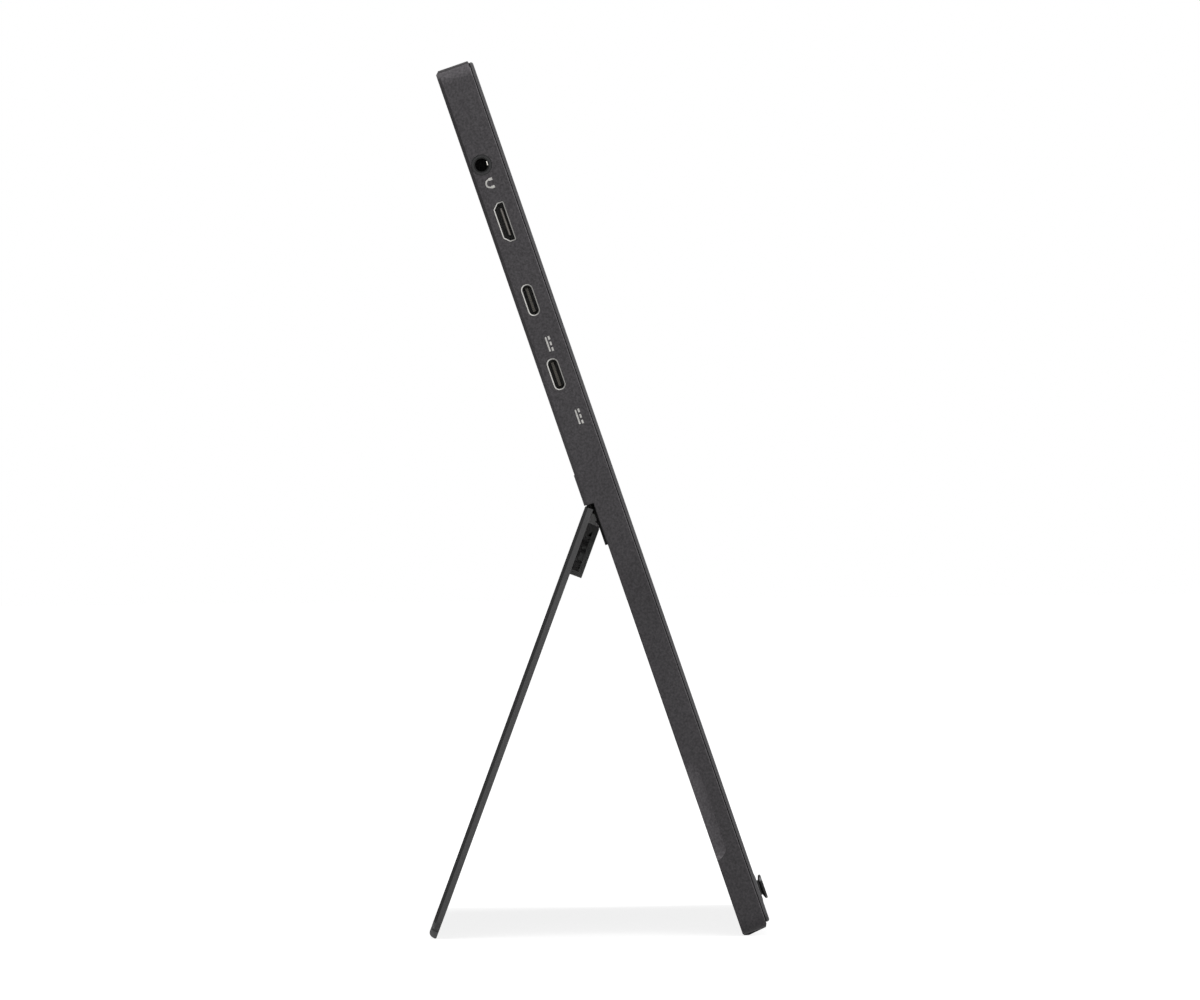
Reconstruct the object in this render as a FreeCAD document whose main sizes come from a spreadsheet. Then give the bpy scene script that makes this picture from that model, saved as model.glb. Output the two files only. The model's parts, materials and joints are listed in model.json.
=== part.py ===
"""Portable monitor that leans back on a fold-out stand leaf, as a parametric document in millimetres.

Two local frames are used. The case frame has x to the user's right, y from the front face to the back and
z up from the bottom edge. The stand frame is the case frame of the closed leaf, with its origin on the
hinge axis, so y is 0 on the leaf's outer face and negative towards the screen.
"""
import FreeCAD, Part
import os
import re

import Sketcher

Vector = FreeCAD.Vector
TOUCH = 1e-4

SIZES = {
    # whole object
    "case_width": 358.0,
    "case_high": 249.4,
    "case_thick": 10.6,
    "low_thick": 8.2,
    "step_high": 124.5,
    "corner_round": 4.0,
    "tilt": 18.5,
    "opening": 39.2,
    "back_shift": 0.0,
    # rear housing
    "wall": 1.4,
    "back_wall": 1.3,
    "front_edge": 1.1,
    "front_bevel": 0.25,
    "toe_deep": 0.5,
    "toe_high": 1.0,
    "ledge_thick": 1.0,
    "ledge_wide": 2.2,
    "back_bevel": 0.9,
    "low_bevel": 0.25,
    "lip_high": 8.8,
    "lip_proud": 0.2,
    "rib_thick": 1.2,
    "rib_reach": 70.0,
    "rib_low": 30.0,
    "rib_top": 95.0,
    "boss_radius": 2.2,
    "over": 1.0,
    # finger scoop
    "scoop_low": 20.23,
    "scoop_top": 50.77,
    "scoop_radius": 4.67,
    "scoop_out": 3.2,
    "scoop_wall": 1.2,
    # front bezel
    "bezel_thick": 0.85,
    "bezel_inset": 0.8,
    "bezel_inset_top": 0.6,
    "bezel_inset_low": 1.3,
    "bezel_round": 0.65,
    "view_width": 346.0,
    "view_high": 216.6,
    "border_top": 8.0,
    "tape_inset": 0.15,
    # display panel
    "cell_front": 0.9,
    "cell_thick": 0.9,
    "cell_side": 1.5,
    "cell_below": 2.8,
    "cell_above": 2.4,
    "optic_front": 1.85,
    "optic_thick": 1.2,
    "optic_inset": 0.5,
    "led_high": 1.9,
    "led_gap": 0.25,
    "led_count": 24.0,
    "led_pitch": 14.0,
    "led_size": 3.0,
    "led_strip": 0.25,
    "tray_front": 1.0,
    "tray_back": 3.4,
    "tray_metal": 0.3,
    "tray_gap": 0.15,
    # boards and cables
    "board_thick": 0.8,
    "main_front": 7.95,
    "main_left": 2.5,
    "main_right": 84.0,
    "main_low": 148.0,
    "main_top": 238.0,
    "can_left": 152.0,
    "can_right": 112.0,
    "can_low": 168.0,
    "can_top": 206.0,
    "can_deep": 1.8,
    "can_metal": 0.2,
    "panel_board_left": 110.0,
    "panel_board_right": 100.0,
    "panel_board_low": 4.0,
    "panel_board_top": 18.0,
    "panel_board_front": 3.6,
    "panel_boss": 60.0,
    "cable_thick": 0.3,
    "cable_fold": 144.0,
    "cable_tail": 12.0,
    "display_cable_left": 98.0,
    "display_cable_wide": 12.0,
    "key_cable_left": 170.0,
    "key_cable_wide": 6.0,
    # sockets on the left side
    "socket_recess": 0.2,
    "socket_metal": 0.3,
    "socket_gap": 0.1,
    "usb_long": 8.94,
    "usb_thick": 3.26,
    "insulator_long": 1.5,
    "insulator_thick": 2.4,
    "usb_deep": 8.6,
    "usb_round": 1.55,
    "usb_depth": 6.3,
    "usb_upper": 67.15,
    "usb_lower": 88.5,
    "tongue_long": 6.7,
    "tongue_thick": 0.7,
    "tongue_back": 1.2,
    "hdmi_long": 11.2,
    "hdmi_thick": 3.3,
    "hdmi_cut": 1.5,
    "hdmi_round": 0.45,
    "hdmi_deep": 9.0,
    "hdmi_depth": 6.15,
    "hdmi_down": 44.8,
    "hdmi_tongue_long": 7.7,
    "hdmi_tongue_thick": 0.6,
    "hdmi_tongue_shift": 0.37,
    "jack_down": 28.1,
    "jack_depth": 6.85,
    "jack_nose": 2.75,
    "jack_nose_long": 1.5,
    "jack_bore": 1.8,
    "jack_bore_long": 13.5,
    "jack_body_long": 13.4,
    "jack_body_high": 6.0,
    "jack_body_thick": 4.6,
    "jack_slot": 1.5,
    "contact_thick": 0.4,
    "contact_wide": 1.2,
    "contact_long": 2.6,
    "contact_step": 3.6,
    # joystick
    "stick_x": 150.0,
    "stick_high": 10.15,
    "stick_pivot": 2.6,
    "stick_lip": 3.3,
    "stick_lip_base": 4.4,
    "stick_lip_proud": 0.18,
    "stick_hole": 3.1,
    "cap_face": 1.65,
    "cap_radius": 3.4,
    "cap_edge": 0.75,
    "cap_soften": 0.18,
    "cap_neck": 2.1,
    "cap_neck_front": 0.5,
    "cap_neck_back": 0.65,
    "plunger_radius": 0.68,
    "plunger_end": 2.85,
    "pivot_half": 0.4,
    "pivot_pin": 0.3,
    "pin_gap": 0.03,
    "sleeve_front": 1.0,
    "sleeve_radius": 1.25,
    "sleeve_bore": 0.72,
    "hub_radius": 1.9,
    "ring_inner": 2.3,
    "ring_outer": 3.1,
    "base_half": 4.2,
    "base_front": 1.7,
    "base_floor": 3.5,
    "base_cavity": 3.55,
    "dome_radius": 2.0,
    "dome_top": 3.2,
    "dome_metal": 0.1,
    "key_front": 3.9,
    "key_left": 172.0,
    "key_right": 140.5,
    "key_low": 4.0,
    "key_top": 18.0,
    # crescent hinges, one near each side
    "pivot_drop": 0.15,
    "pocket_in": 102.5,
    "pocket_out": 154.6,
    "pocket_deep": 20.4,
    "pocket_rise": 3.2,
    "pocket_floor": 4.5,
    "pocket_skin": 0.75,
    "pocket_wall": 1.0,
    "pocket_ear": 6.4,
    "notch_rise": 1.6,
    "guide_in": 146.0,
    "guide_out": 154.0,
    "guide_ear_out": 160.4,
    "guide_low": 12.0,
    "guide_rise": 3.0,
    "guide_proud": 0.7,
    "ear_top": 1.6,
    "groove_deep": 6.0,
    "groove_gap": 0.05,
    "groove_end": 124.0,
    "rail_inner": 2.9,
    "rail_outer": 4.7,
    "rail_start": 40.0,
    "rail_end": 118.0,
    "rail_long": 5.9,
    "pad_in": 147.5,
    "pad_out": 151.0,
    "pad_front": 5.0,
    "pad_back": 6.4,
    "pad_half": 1.8,
    "pad_gap": 0.03,
    "cheek_in": 143.4,
    "cheek_margin": 0.3,
    "cheek_start": 32.0,
    "arm_in": 107.0,
    "arm_top": 2.6,
    "arm_low": 15.5,
    "arm_thick": 1.1,
    "root_top": 2.4,
    "root_low": 8.5,
    "root_deep": 5.7,
    "root_back": 4.0,
    "root_shoulder": 3.0,
    "tab_edge": 0.25,
    "tab_edge_top": 0.5,
    "tab_back": 1.55,
    "tab_top": 1.6,
    "tab_tip": 2.6,
    "tab_tip_top": 2.2,
    "tab_front": 3.4,
    "cover_in": 104.0,
    "cover_out": 143.2,
    "cover_deep": 5.75,
    "cover_wall": 1.4,
    "cover_roof": 1.0,
    "cover_top": 1.2,
    "cover_low": 18.9,
    "cover_slope": 4.6,
    "cover_brow_deep": 3.6,
    "cover_brow": 1.9,
    "cover_rib_upper": 7.7,
    "cover_rib_lower": 10.7,
    "cover_rib_thick": 0.8,
    "cover_rib_deep": 3.0,
    "cover_post": 13.3,
    "cover_post_wide": 2.2,
    # stand leaf
    "leaf_thick": 2.35,
    "leaf_skin": 1.2,
    "leaf_top": 0.1,
    "leaf_low": 122.5,
    "leaf_rim": 1.5,
    "leaf_bevel": 0.9,
    "plate_gap": 0.05,
    "hatch_in": 105.6,
    "hatch_out": 162.0,
    "hatch_low": 16.0,
    "leaf_foot_inset": 4.0,
    "leaf_foot_start": 1.8,
    "leaf_foot_flat": 1.9,
    "leaf_foot_round": 1.5,
    # rubber feet under the case
    "foot_in": 70.0,
    "foot_out": 174.0,
    "foot_edge": 0.2,
    "foot_flat": 1.3,
    "foot_front": 2.0,
    "foot_drop": 0.13,
    "foot_front_drop": 0.05,
    "foot_key": 0.6,
    "foot_key_front": 2.5,
    "foot_key_back": 7.5,
    "foot_gap": 0.05,
    # screws
    "screw_radius": 0.8,
    "screw_gap": 0.05,
    "screw_head": 1.6,
    "screw_head_thick": 0.6,
    "screw_long": 1.7,
    "ear_screw_x": 157.4,
    "ear_screw_upper": 3.8,
    "ear_screw_lower": 8.6,
    "ear_screw_head": 1.4,
    "ear_screw_head_thick": 0.4,
    "ear_screw_long": 3.6,
    "arm_screw_low": 5.6,
    "arm_screw_first": 112.0,
    "arm_screw_pitch": 12.0,
    "arm_screw_head_thick": 0.5,
    "arm_screw_bite": 0.7,
}

# heights and depths that several pieces share
PIVOT_HIGH = "(step_high - pivot_drop)"
VIEW_LOW = "(case_high - border_top - view_high)"
CELL_HALF = "(view_width/2 + cell_side)"
CELL_LOW = f"({VIEW_LOW} - cell_below)"
CELL_TOP = "(case_high - border_top + cell_above)"
LEFT_FACE = "(-case_width/2)"
SOCKET_MOUTH = f"({LEFT_FACE} + socket_recess)"
USB_HIGH = {"upper": "(case_high - usb_upper)", "lower": "(case_high - usb_lower)"}
HDMI_HIGH = "(case_high - hdmi_down)"
JACK_HIGH = "(case_high - jack_down)"
LEAN = "(opening - tilt)"
LIFT = "((low_thick - foot_edge)*sin(tilt) + foot_drop*cos(tilt))"
PIVOT_LEVEL = f"({PIVOT_HIGH}*cos(tilt) - case_thick*sin(tilt) + {LIFT})"
CASE_PLACE = f"placement(vector(0; back_shift; {LIFT}); rotation(vector(1; 0; 0); -tilt))"
STAND_PLACE = (f"placement(vector(0; back_shift + case_thick*cos(tilt) + {PIVOT_HIGH}*sin(tilt);"
               f" {PIVOT_LEVEL}); rotation(vector(1; 0; 0); {LEAN}))")

# start of a turned sketch on the joystick's axis
STICK_PLACE = "placement(vector(0; stick_high; -stick_x); rotation(0; 0; 0))"

# screw places as x and z in the case frame
MAIN_SCREWS = [(-158.0, 151.8), (-108.0, 152.0), (-88.0, 234.0), (-158.0, 234.0)]
KEY_SCREWS = [(-161.0, 11.0), (-143.0, 11.0)]
SIDES = {"left": -1, "right": 1}

document = FreeCAD.newDocument("PortableMonitor")
sheet = document.addObject("Spreadsheet::Sheet", "Sizes")
for row, (alias, number) in enumerate(SIZES.items(), start=1):
    sheet.set(f"A{row}", alias)
    sheet.set(f"B{row}", str(number))
    sheet.setAlias(f"B{row}", alias)
document.recompute()

subparts = []


def formula(text):
    """The same formula with every size name pointing at its cell."""
    return re.sub(r"[a-z][a-z_]+",
                  lambda word: "Sizes." + word[0] if word[0] in SIZES else word[0], str(text))


def bind(thing, name, text):
    thing.setExpression(name, formula(text))


def new_body(label, place=CASE_PLACE):
    body = document.addObject("PartDesign::Body", label)
    body.Label = label
    bind(body, "Placement", place)
    subparts.append(body)
    return body


# sketch plane across each axis, with the sign of its normal
PLANES = {"x": ("YZ_Plane", 1), "y": ("XZ_Plane", -1), "z": ("XY_Plane", 1)}


def new_sketch(body, axis, level="0"):
    role, sign = PLANES[axis]
    plane = [feature for feature in body.Origin.OriginFeatures if feature.Role == role][0]
    sketch = body.newObject("Sketcher::SketchObject", body.Name + "_sketch")
    sketch.AttachmentSupport = (plane, "")
    sketch.MapMode = "FlatFace"
    bind(sketch, "AttachmentOffset.Base.z", f"{sign}*({level})")
    return sketch


def pin_point(sketch, shape, point, across, up, start=(1.0, 1.0)):
    for kind, text, value in (("DistanceX", across, start[0]), ("DistanceY", up, start[1])):
        index = sketch.addConstraint(Sketcher.Constraint(kind, -1, 1, shape, point, value))
        bind(sketch, f"Constraints[{index}]", text)


def draw_polygon(sketch, points):
    first = sketch.GeometryCount
    count = len(points)
    corners = [FreeCAD.Rotation(Vector(0, 0, 1), 360*i/count).multVec(Vector(1, 0, 0))
               for i in range(count)]
    for i in range(count):
        sketch.addGeometry(Part.LineSegment(corners[i], corners[(i + 1) % count]))
    for i, (across, up) in enumerate(points):
        after = first + (i + 1) % count
        sketch.addConstraint(Sketcher.Constraint("Coincident", first + i, 2, after, 1))
        pin_point(sketch, first + i, 1, across, up)


def draw_circle(sketch, across, up, radius):
    shape = sketch.addGeometry(Part.Circle(Vector(0, 0, 0), Vector(0, 0, 1), 1.0))
    index = sketch.addConstraint(Sketcher.Constraint("Radius", shape, 1.0))
    bind(sketch, f"Constraints[{index}]", radius)
    pin_point(sketch, shape, 3, across, up)


def rect(left, right, low, high):
    return [(left, low), (right, low), (right, high), (left, high)]


def extrude(body, axis, low, high, outlines, remove=False):
    """Pad or pocket from low to high along an axis.

    An outline is a point list, or a circle's centre and radius.
    """
    sketch = new_sketch(body, axis, low)
    for outline in outlines:
        if isinstance(outline, tuple):
            draw_circle(sketch, *outline)
        else:
            draw_polygon(sketch, outline)
    before = body.Shape.Volume if remove else 0.0
    feature = body.newObject("PartDesign::Pocket" if remove else "PartDesign::Pad", body.Name + "_feature")
    feature.Profile = sketch
    feature.Reversed = (axis == "y") != remove
    bind(feature, "Length", f"({high}) - ({low})")
    document.recompute()
    if remove and body.Shape.Volume > before - TOUCH:
        raise RuntimeError(f"{body.Label}: a pocket removed nothing")
    return feature


def add(body, axis, low, high, *outlines):
    return extrude(body, axis, low, high, outlines)


def cut(body, axis, low, high, *outlines):
    return extrude(body, axis, low, high, outlines, remove=True)


def spin(body, axis, place, points, edge="H_Axis", sweep="360", remove=False, reverse=False):
    """Solid of revolution of a polygon about its sketch's own axis."""
    sketch = new_sketch(body, axis)
    sketch.setExpression("AttachmentOffset.Base.z", None)
    bind(sketch, "AttachmentOffset", place)
    draw_polygon(sketch, points)
    before = body.Shape.Volume if remove else 0.0
    kind = "PartDesign::Groove" if remove else "PartDesign::Revolution"
    feature = body.newObject(kind, body.Name + "_turn")
    feature.Profile = sketch
    feature.ReferenceAxis = (sketch, [edge])
    feature.Reversed = reverse
    bind(feature, "Angle", sweep)
    document.recompute()
    if remove and body.Shape.Volume > before - TOUCH:
        raise RuntimeError(f"{body.Label}: a groove removed nothing")
    return feature


def dress(body, kind, size, wanted):
    """Fillet or chamfer on the edges of the body's tip whose middle point and direction are wanted."""
    base = body.Tip
    names = []
    for number, edge in enumerate(base.Shape.Edges, start=1):
        middle = edge.valueAt((edge.FirstParameter + edge.LastParameter)/2)
        along = edge.Vertexes[-1].Point - edge.Vertexes[0].Point
        if wanted(middle, along):
            names.append(f"Edge{number}")
    feature = body.newObject("PartDesign::" + kind, body.Name + "_edge")
    feature.Base = (base, names)
    bind(feature, "Radius" if kind == "Fillet" else "Size", size)
    document.recompute()
    return feature


def hollow_out(body, metal):
    """Shell of even thickness, open at the end with the lowest x."""
    base = body.Tip
    ends = [face.CenterOfMass.x for face in base.Shape.Faces]
    mouth = ends.index(min(ends)) + 1
    feature = body.newObject("PartDesign::Thickness", body.Name + "_hollow")
    feature.Base = (base, [f"Face{mouth}"])
    feature.Reversed = True
    bind(feature, "Value", metal)
    document.recompute()
    return feature


def near(first, second):
    return abs(first - second) < 1e-3


def runs_along(direction, axis):
    """True for a straight edge direction along one axis."""
    others = [abs(part) for part in direction]
    wanted = others.pop("xyz".index(axis))
    return wanted > TOUCH and max(others) < TOUCH


def span(side, inner, outer):
    """Low and high x of a stretch given by its distances from the middle, on one side."""
    if side > 0:
        return inner, outer
    return f"-({outer})", f"-({inner})"


def rod(name, across, back, up, radius, length):
    """Cylinder along +y in the case frame."""
    piece = document.addObject("Part::Cylinder", name)
    bind(piece, "Radius", radius)
    bind(piece, "Height", length)
    bind(piece, "Placement", f"placement(vector({across}; {back}; {up}); rotation(vector(1; 0; 0); -90))")
    return piece


def group(label, pieces, place=CASE_PLACE):
    """One node of several loose solids."""
    whole = document.addObject("Part::MultiFuse", label)
    whole.Label = label
    whole.Shapes = pieces
    bind(whole, "Placement", place)
    subparts.append(whole)
    return whole


def screw(name, across, up, head_front, head_radius, head_thick, length):
    """Screw along y whose head's front is at head_front and whose shank goes on towards +y."""
    head = rod(name + "_head", across, head_front, up, head_radius, head_thick)
    shank = rod(name + "_shank", across, f"{head_front} + {head_thick}", up, "screw_radius", length)
    whole = document.addObject("Part::Fuse", name)
    whole.Base = head
    whole.Tool = shank
    return whole


def make_rear_housing():
    body = new_body("rear_housing")
    half = SIZES["case_width"]/2
    high = SIZES["case_high"]
    add(body, "y", "front_edge", "case_thick", rect(LEFT_FACE, "case_width/2", "0", "case_high"))
    dress(body, "Fillet", "corner_round", lambda middle, along: runs_along(along, "y"))
    wide = "case_width/2 + over"
    cut(body, "y", "low_thick", "case_thick + over", rect(f"-({wide})", wide, "-over", "step_high"))
    toe_front = "front_edge - toe_deep"
    cut(body, "x", f"-({wide})", wide,
        [(toe_front, "-toe_high"), ("front_edge + 2*toe_deep", "-toe_high"), (toe_front, "2*toe_high")])

    def front_rim(middle, along):
        return near(middle.y, SIZES["front_edge"]) and middle.z > SIZES["toe_high"] + TOUCH

    def upper_back_rim(middle, along):
        return near(middle.y, SIZES["case_thick"]) and middle.z > SIZES["step_high"] + TOUCH

    def lower_back_rim(middle, along):
        return near(middle.y, SIZES["low_thick"]) and runs_along(along, "z")

    dress(body, "Chamfer", "front_bevel", front_rim)
    dress(body, "Chamfer", "back_bevel", upper_back_rim)
    dress(body, "Chamfer", "low_bevel", lower_back_rim)

    inner = "case_width/2 - wall"
    cut(body, "y", "front_edge", "case_thick - back_wall",
        rect(f"-({inner})", inner, "step_high + wall", "case_high - wall"))
    cut(body, "y", "front_edge", "low_thick - back_wall",
        rect(f"-({inner})", inner, "wall", "step_high + wall + over"))

    def inner_corner(middle, along):
        at_side = near(abs(middle.x), half - SIZES["wall"])
        at_end = near(middle.z, SIZES["wall"]) or near(middle.z, high - SIZES["wall"])
        return runs_along(along, "y") and at_side and at_end

    dress(body, "Fillet", "corner_round - wall", inner_corner)

    # ledge behind the bezel
    shelf = "case_width/2 - wall - ledge_wide"
    add(body, "y", "front_edge", "front_edge + ledge_thick",
        rect(f"-({inner})", inner, "wall", "case_high - wall"),
        rect(f"-({shelf})", shelf, "wall + ledge_wide", "case_high - wall - ledge_wide"))

    # raised lip along the step's edge
    lip = "case_width/2 - back_bevel"
    add(body, "y", "case_thick - back_wall/2", "case_thick + lip_proud",
        rect(f"-({lip})", lip, "step_high", "step_high + lip_high"))

    # ribs behind the panel tray, in the lower and the upper half
    ribs_low = []
    ribs_up = []
    for place in (-1, 0, 1):
        left = f"{place}*rib_reach - rib_thick/2"
        right = f"{place}*rib_reach + rib_thick/2"
        ribs_low.append(rect(left, right, "rib_low", "rib_top"))
        ribs_up.append(rect(left, right, "step_high + wall + over", "case_high - rib_low/2"))
    add(body, "y", "tray_back", "low_thick - back_wall/2", *ribs_low)
    add(body, "y", "tray_back", "case_thick - back_wall/2", *ribs_up)

    for side in SIDES.values():
        make_hinge_pocket(body, side)
    make_scoop(body)
    make_socket_openings(body)
    make_bosses(body)
    for side in SIDES.values():
        low, top = span(side, "foot_in", "foot_out")
        cut(body, "z", "-over", "foot_key",
            rect(f"{low} - foot_gap", f"{top} + foot_gap",
                 "foot_key_front - foot_gap", "foot_key_back + foot_gap"))
    return body


def make_hinge_pocket(body, side):
    """Walled recess for one hinge, open to the back below the step and running a little up behind it."""
    low, top = span(side, "pocket_in - pocket_wall", "pocket_out + pocket_ear")
    bottom = "step_high - pocket_deep"
    add(body, "y", "pocket_floor - pocket_skin", "low_thick",
        rect(low, top, f"{bottom} - pocket_wall", "step_high"))
    add(body, "y", "pocket_floor - pocket_skin", "case_thick - back_wall/2",
        rect(low, top, "step_high", "step_high + pocket_rise + pocket_wall"))
    low, top = span(side, "pocket_in", "pocket_out")
    cut(body, "y", "pocket_floor", "case_thick + over", rect(low, top, bottom, "step_high"))
    cut(body, "y", "pocket_floor", "case_thick - back_wall",
        rect(low, top, "step_high - over", "step_high + pocket_rise"))
    # notch in the step's edge, for the tab of the hinge arm
    low, top = span(side, "cheek_in - cheek_margin", "guide_in")
    cut(body, "y", "case_thick - back_wall - over", "case_thick + over",
        rect(low, top, "step_high - over", "step_high + notch_rise"))
    ear_x = f"{side}*ear_screw_x"
    for drop in ("ear_screw_upper", "ear_screw_lower"):
        cut(body, "y", "low_thick - ear_screw_long", "low_thick + over",
            (ear_x, f"step_high - {drop}", "screw_radius + screw_gap"))


def make_scoop(body):
    """Shallow finger scoop along the left back edge: a round channel with round ends and a wall."""
    add(body, "y", "low_thick - scoop_radius", "low_thick - back_wall/2",
        rect(f"{LEFT_FACE} + wall/2", f"{LEFT_FACE} + scoop_radius - scoop_out + scoop_wall",
             "scoop_low", "scoop_top"))
    radius = SIZES["scoop_radius"]
    low = SIZES["scoop_low"] + radius
    top = SIZES["scoop_top"] - radius
    up = Vector(0, 0, 1)
    right = FreeCAD.Units.Quantity("90 deg").getValueAs("rad").Value
    sketch = new_sketch(body, "x", f"{LEFT_FACE} - scoop_out")
    bind(sketch, "AttachmentOffset.Base.x", "low_thick")
    lower = sketch.addGeometry(Part.ArcOfCircle(Part.Circle(Vector(0, low, 0), up, radius), -right, 0))
    flank = sketch.addGeometry(Part.LineSegment(Vector(radius, low, 0), Vector(radius, top, 0)))
    upper = sketch.addGeometry(Part.ArcOfCircle(Part.Circle(Vector(0, top, 0), up, radius), 0, right))
    middle = sketch.addGeometry(Part.LineSegment(Vector(0, top + radius, 0), Vector(0, low - radius, 0)))
    pin_point(sketch, lower, 3, "0", "scoop_low + scoop_radius", (0, low))
    pin_point(sketch, lower, 1, "0", "scoop_low", (0, low - radius))
    pin_point(sketch, upper, 3, "0", "scoop_top - scoop_radius", (0, top))
    pin_point(sketch, upper, 2, "0", "scoop_top", (0, top + radius))
    sketch.addConstraint(Sketcher.Constraint("Tangent", lower, 2, flank, 1))
    sketch.addConstraint(Sketcher.Constraint("Tangent", flank, 2, upper, 1))
    sketch.addConstraint(Sketcher.Constraint("Coincident", upper, 2, middle, 1))
    sketch.addConstraint(Sketcher.Constraint("Coincident", middle, 2, lower, 1))
    before = body.Shape.Volume
    groove = body.newObject("PartDesign::Groove", "scoop")
    groove.Profile = sketch
    groove.ReferenceAxis = (sketch, ["V_Axis"])
    groove.Angle = 360
    document.recompute()
    if body.Shape.Volume > before - TOUCH:
        raise RuntimeError("the scoop removed nothing")


def socket_outline(depth, height, thick, length, grow="0"):
    """Rectangle of a socket seen from the side, grown on every side."""
    return rect(f"{depth} - {thick}/2 - {grow}", f"{depth} + {thick}/2 + {grow}",
                f"{height} - {length}/2 - {grow}", f"{height} + {length}/2 + {grow}")


def hdmi_outline(grow="0"):
    """D shape whose two corners towards the back are cut off."""
    front = f"hdmi_depth - hdmi_thick/2 - {grow}"
    back = f"hdmi_depth + hdmi_thick/2 + {grow}"
    low = f"{HDMI_HIGH} - hdmi_long/2 - {grow}"
    top = f"{HDMI_HIGH} + hdmi_long/2 + {grow}"
    return [(front, low), (f"{back} - hdmi_cut", low), (back, f"{low} + hdmi_cut"),
            (back, f"{top} - hdmi_cut"), (f"{back} - hdmi_cut", top), (front, top)]


def make_socket_openings(body):
    outside = f"{LEFT_FACE} - over"
    inside = f"{LEFT_FACE} + wall + over"
    cut(body, "x", outside, inside, hdmi_outline("socket_gap"))
    hdmi_middle = SIZES["case_high"] - SIZES["hdmi_down"]
    hdmi_reach = SIZES["hdmi_long"]/2 + SIZES["socket_gap"]

    def hdmi_corner(middle, along):
        at_depth = abs(middle.y - SIZES["hdmi_depth"]) < SIZES["hdmi_thick"]
        return runs_along(along, "x") and at_depth and abs(middle.z - hdmi_middle) < hdmi_reach + TOUCH

    dress(body, "Fillet", "hdmi_round + socket_gap", hdmi_corner)
    cut(body, "x", outside, inside, ("jack_depth", JACK_HIGH, "jack_nose + socket_gap"))
    usb_rows = [socket_outline("usb_depth", height, "usb_thick", "usb_long", "socket_gap")
                for height in USB_HIGH.values()]
    cut(body, "x", outside, inside, *usb_rows)
    reach = SIZES["usb_long"]/2 + SIZES["socket_gap"]
    half_thick = SIZES["usb_thick"]/2 + SIZES["socket_gap"]
    centres = [SIZES["case_high"] - SIZES["usb_upper"], SIZES["case_high"] - SIZES["usb_lower"]]

    def opening_corner(middle, along):
        at_depth = near(abs(middle.y - SIZES["usb_depth"]), half_thick)
        at_end = any(near(abs(middle.z - centre), reach) for centre in centres)
        return runs_along(along, "x") and at_depth and at_end

    dress(body, "Fillet", "usb_round + socket_gap", opening_corner)


def make_bosses(body):
    main_back = "main_front + board_thick"
    key_back = "key_front + board_thick"
    panel_back = "panel_board_front + board_thick"
    hole = "screw_radius + screw_gap"
    add(body, "y", main_back, "case_thick - back_wall/2", *[(x, z, "boss_radius") for x, z in MAIN_SCREWS])
    add(body, "y", key_back, "low_thick - back_wall/2", *[(x, z, "boss_radius") for x, z in KEY_SCREWS])
    mid_high = "(panel_board_low + panel_board_top)/2"
    add(body, "y", panel_back, "low_thick - back_wall/2",
        ("-panel_boss", mid_high, "boss_radius"), ("panel_boss", mid_high, "boss_radius"))
    cut(body, "y", main_back, "main_front + screw_long", *[(x, z, hole) for x, z in MAIN_SCREWS])
    cut(body, "y", key_back, "key_front + screw_long", *[(x, z, hole) for x, z in KEY_SCREWS])


def make_front_bezel():
    body = new_body("front_bezel")
    half = "case_width/2 - bezel_inset"
    add(body, "y", "0", "bezel_thick",
        rect(f"-({half})", half, "bezel_inset_low", "case_high - bezel_inset_top"))
    dress(body, "Fillet", "corner_round - bezel_inset", lambda middle, along: runs_along(along, "y"))
    dress(body, "Fillet", "bezel_round", lambda middle, along: near(middle.y, 0))
    cut(body, "y", "-over", "bezel_thick + over",
        rect("-view_width/2", "view_width/2", VIEW_LOW, f"{VIEW_LOW} + view_high"))
    spin(body, "x", STICK_PLACE,
         [("bezel_thick/2", "0"), ("bezel_thick/2", "stick_lip_base"), ("0", "stick_lip_base"),
          ("-stick_lip_proud", "stick_lip"), ("-stick_lip_proud", "0")])
    cut(body, "y", "-over", "bezel_thick + over", ("-stick_x", "stick_high", "stick_hole"))
    return body


def make_bezel_tape():
    body = new_body("bezel_tape")
    outer = "case_width/2 - bezel_inset - tape_inset"
    inner = "case_width/2 - wall - ledge_wide"
    add(body, "y", "bezel_thick", "front_edge",
        rect(f"-({outer})", outer,
             "bezel_inset_low + tape_inset", "case_high - bezel_inset_top - tape_inset"),
        rect(f"-({inner})", inner, "wall + ledge_wide", "case_high - wall - ledge_wide"))
    return body


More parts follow.
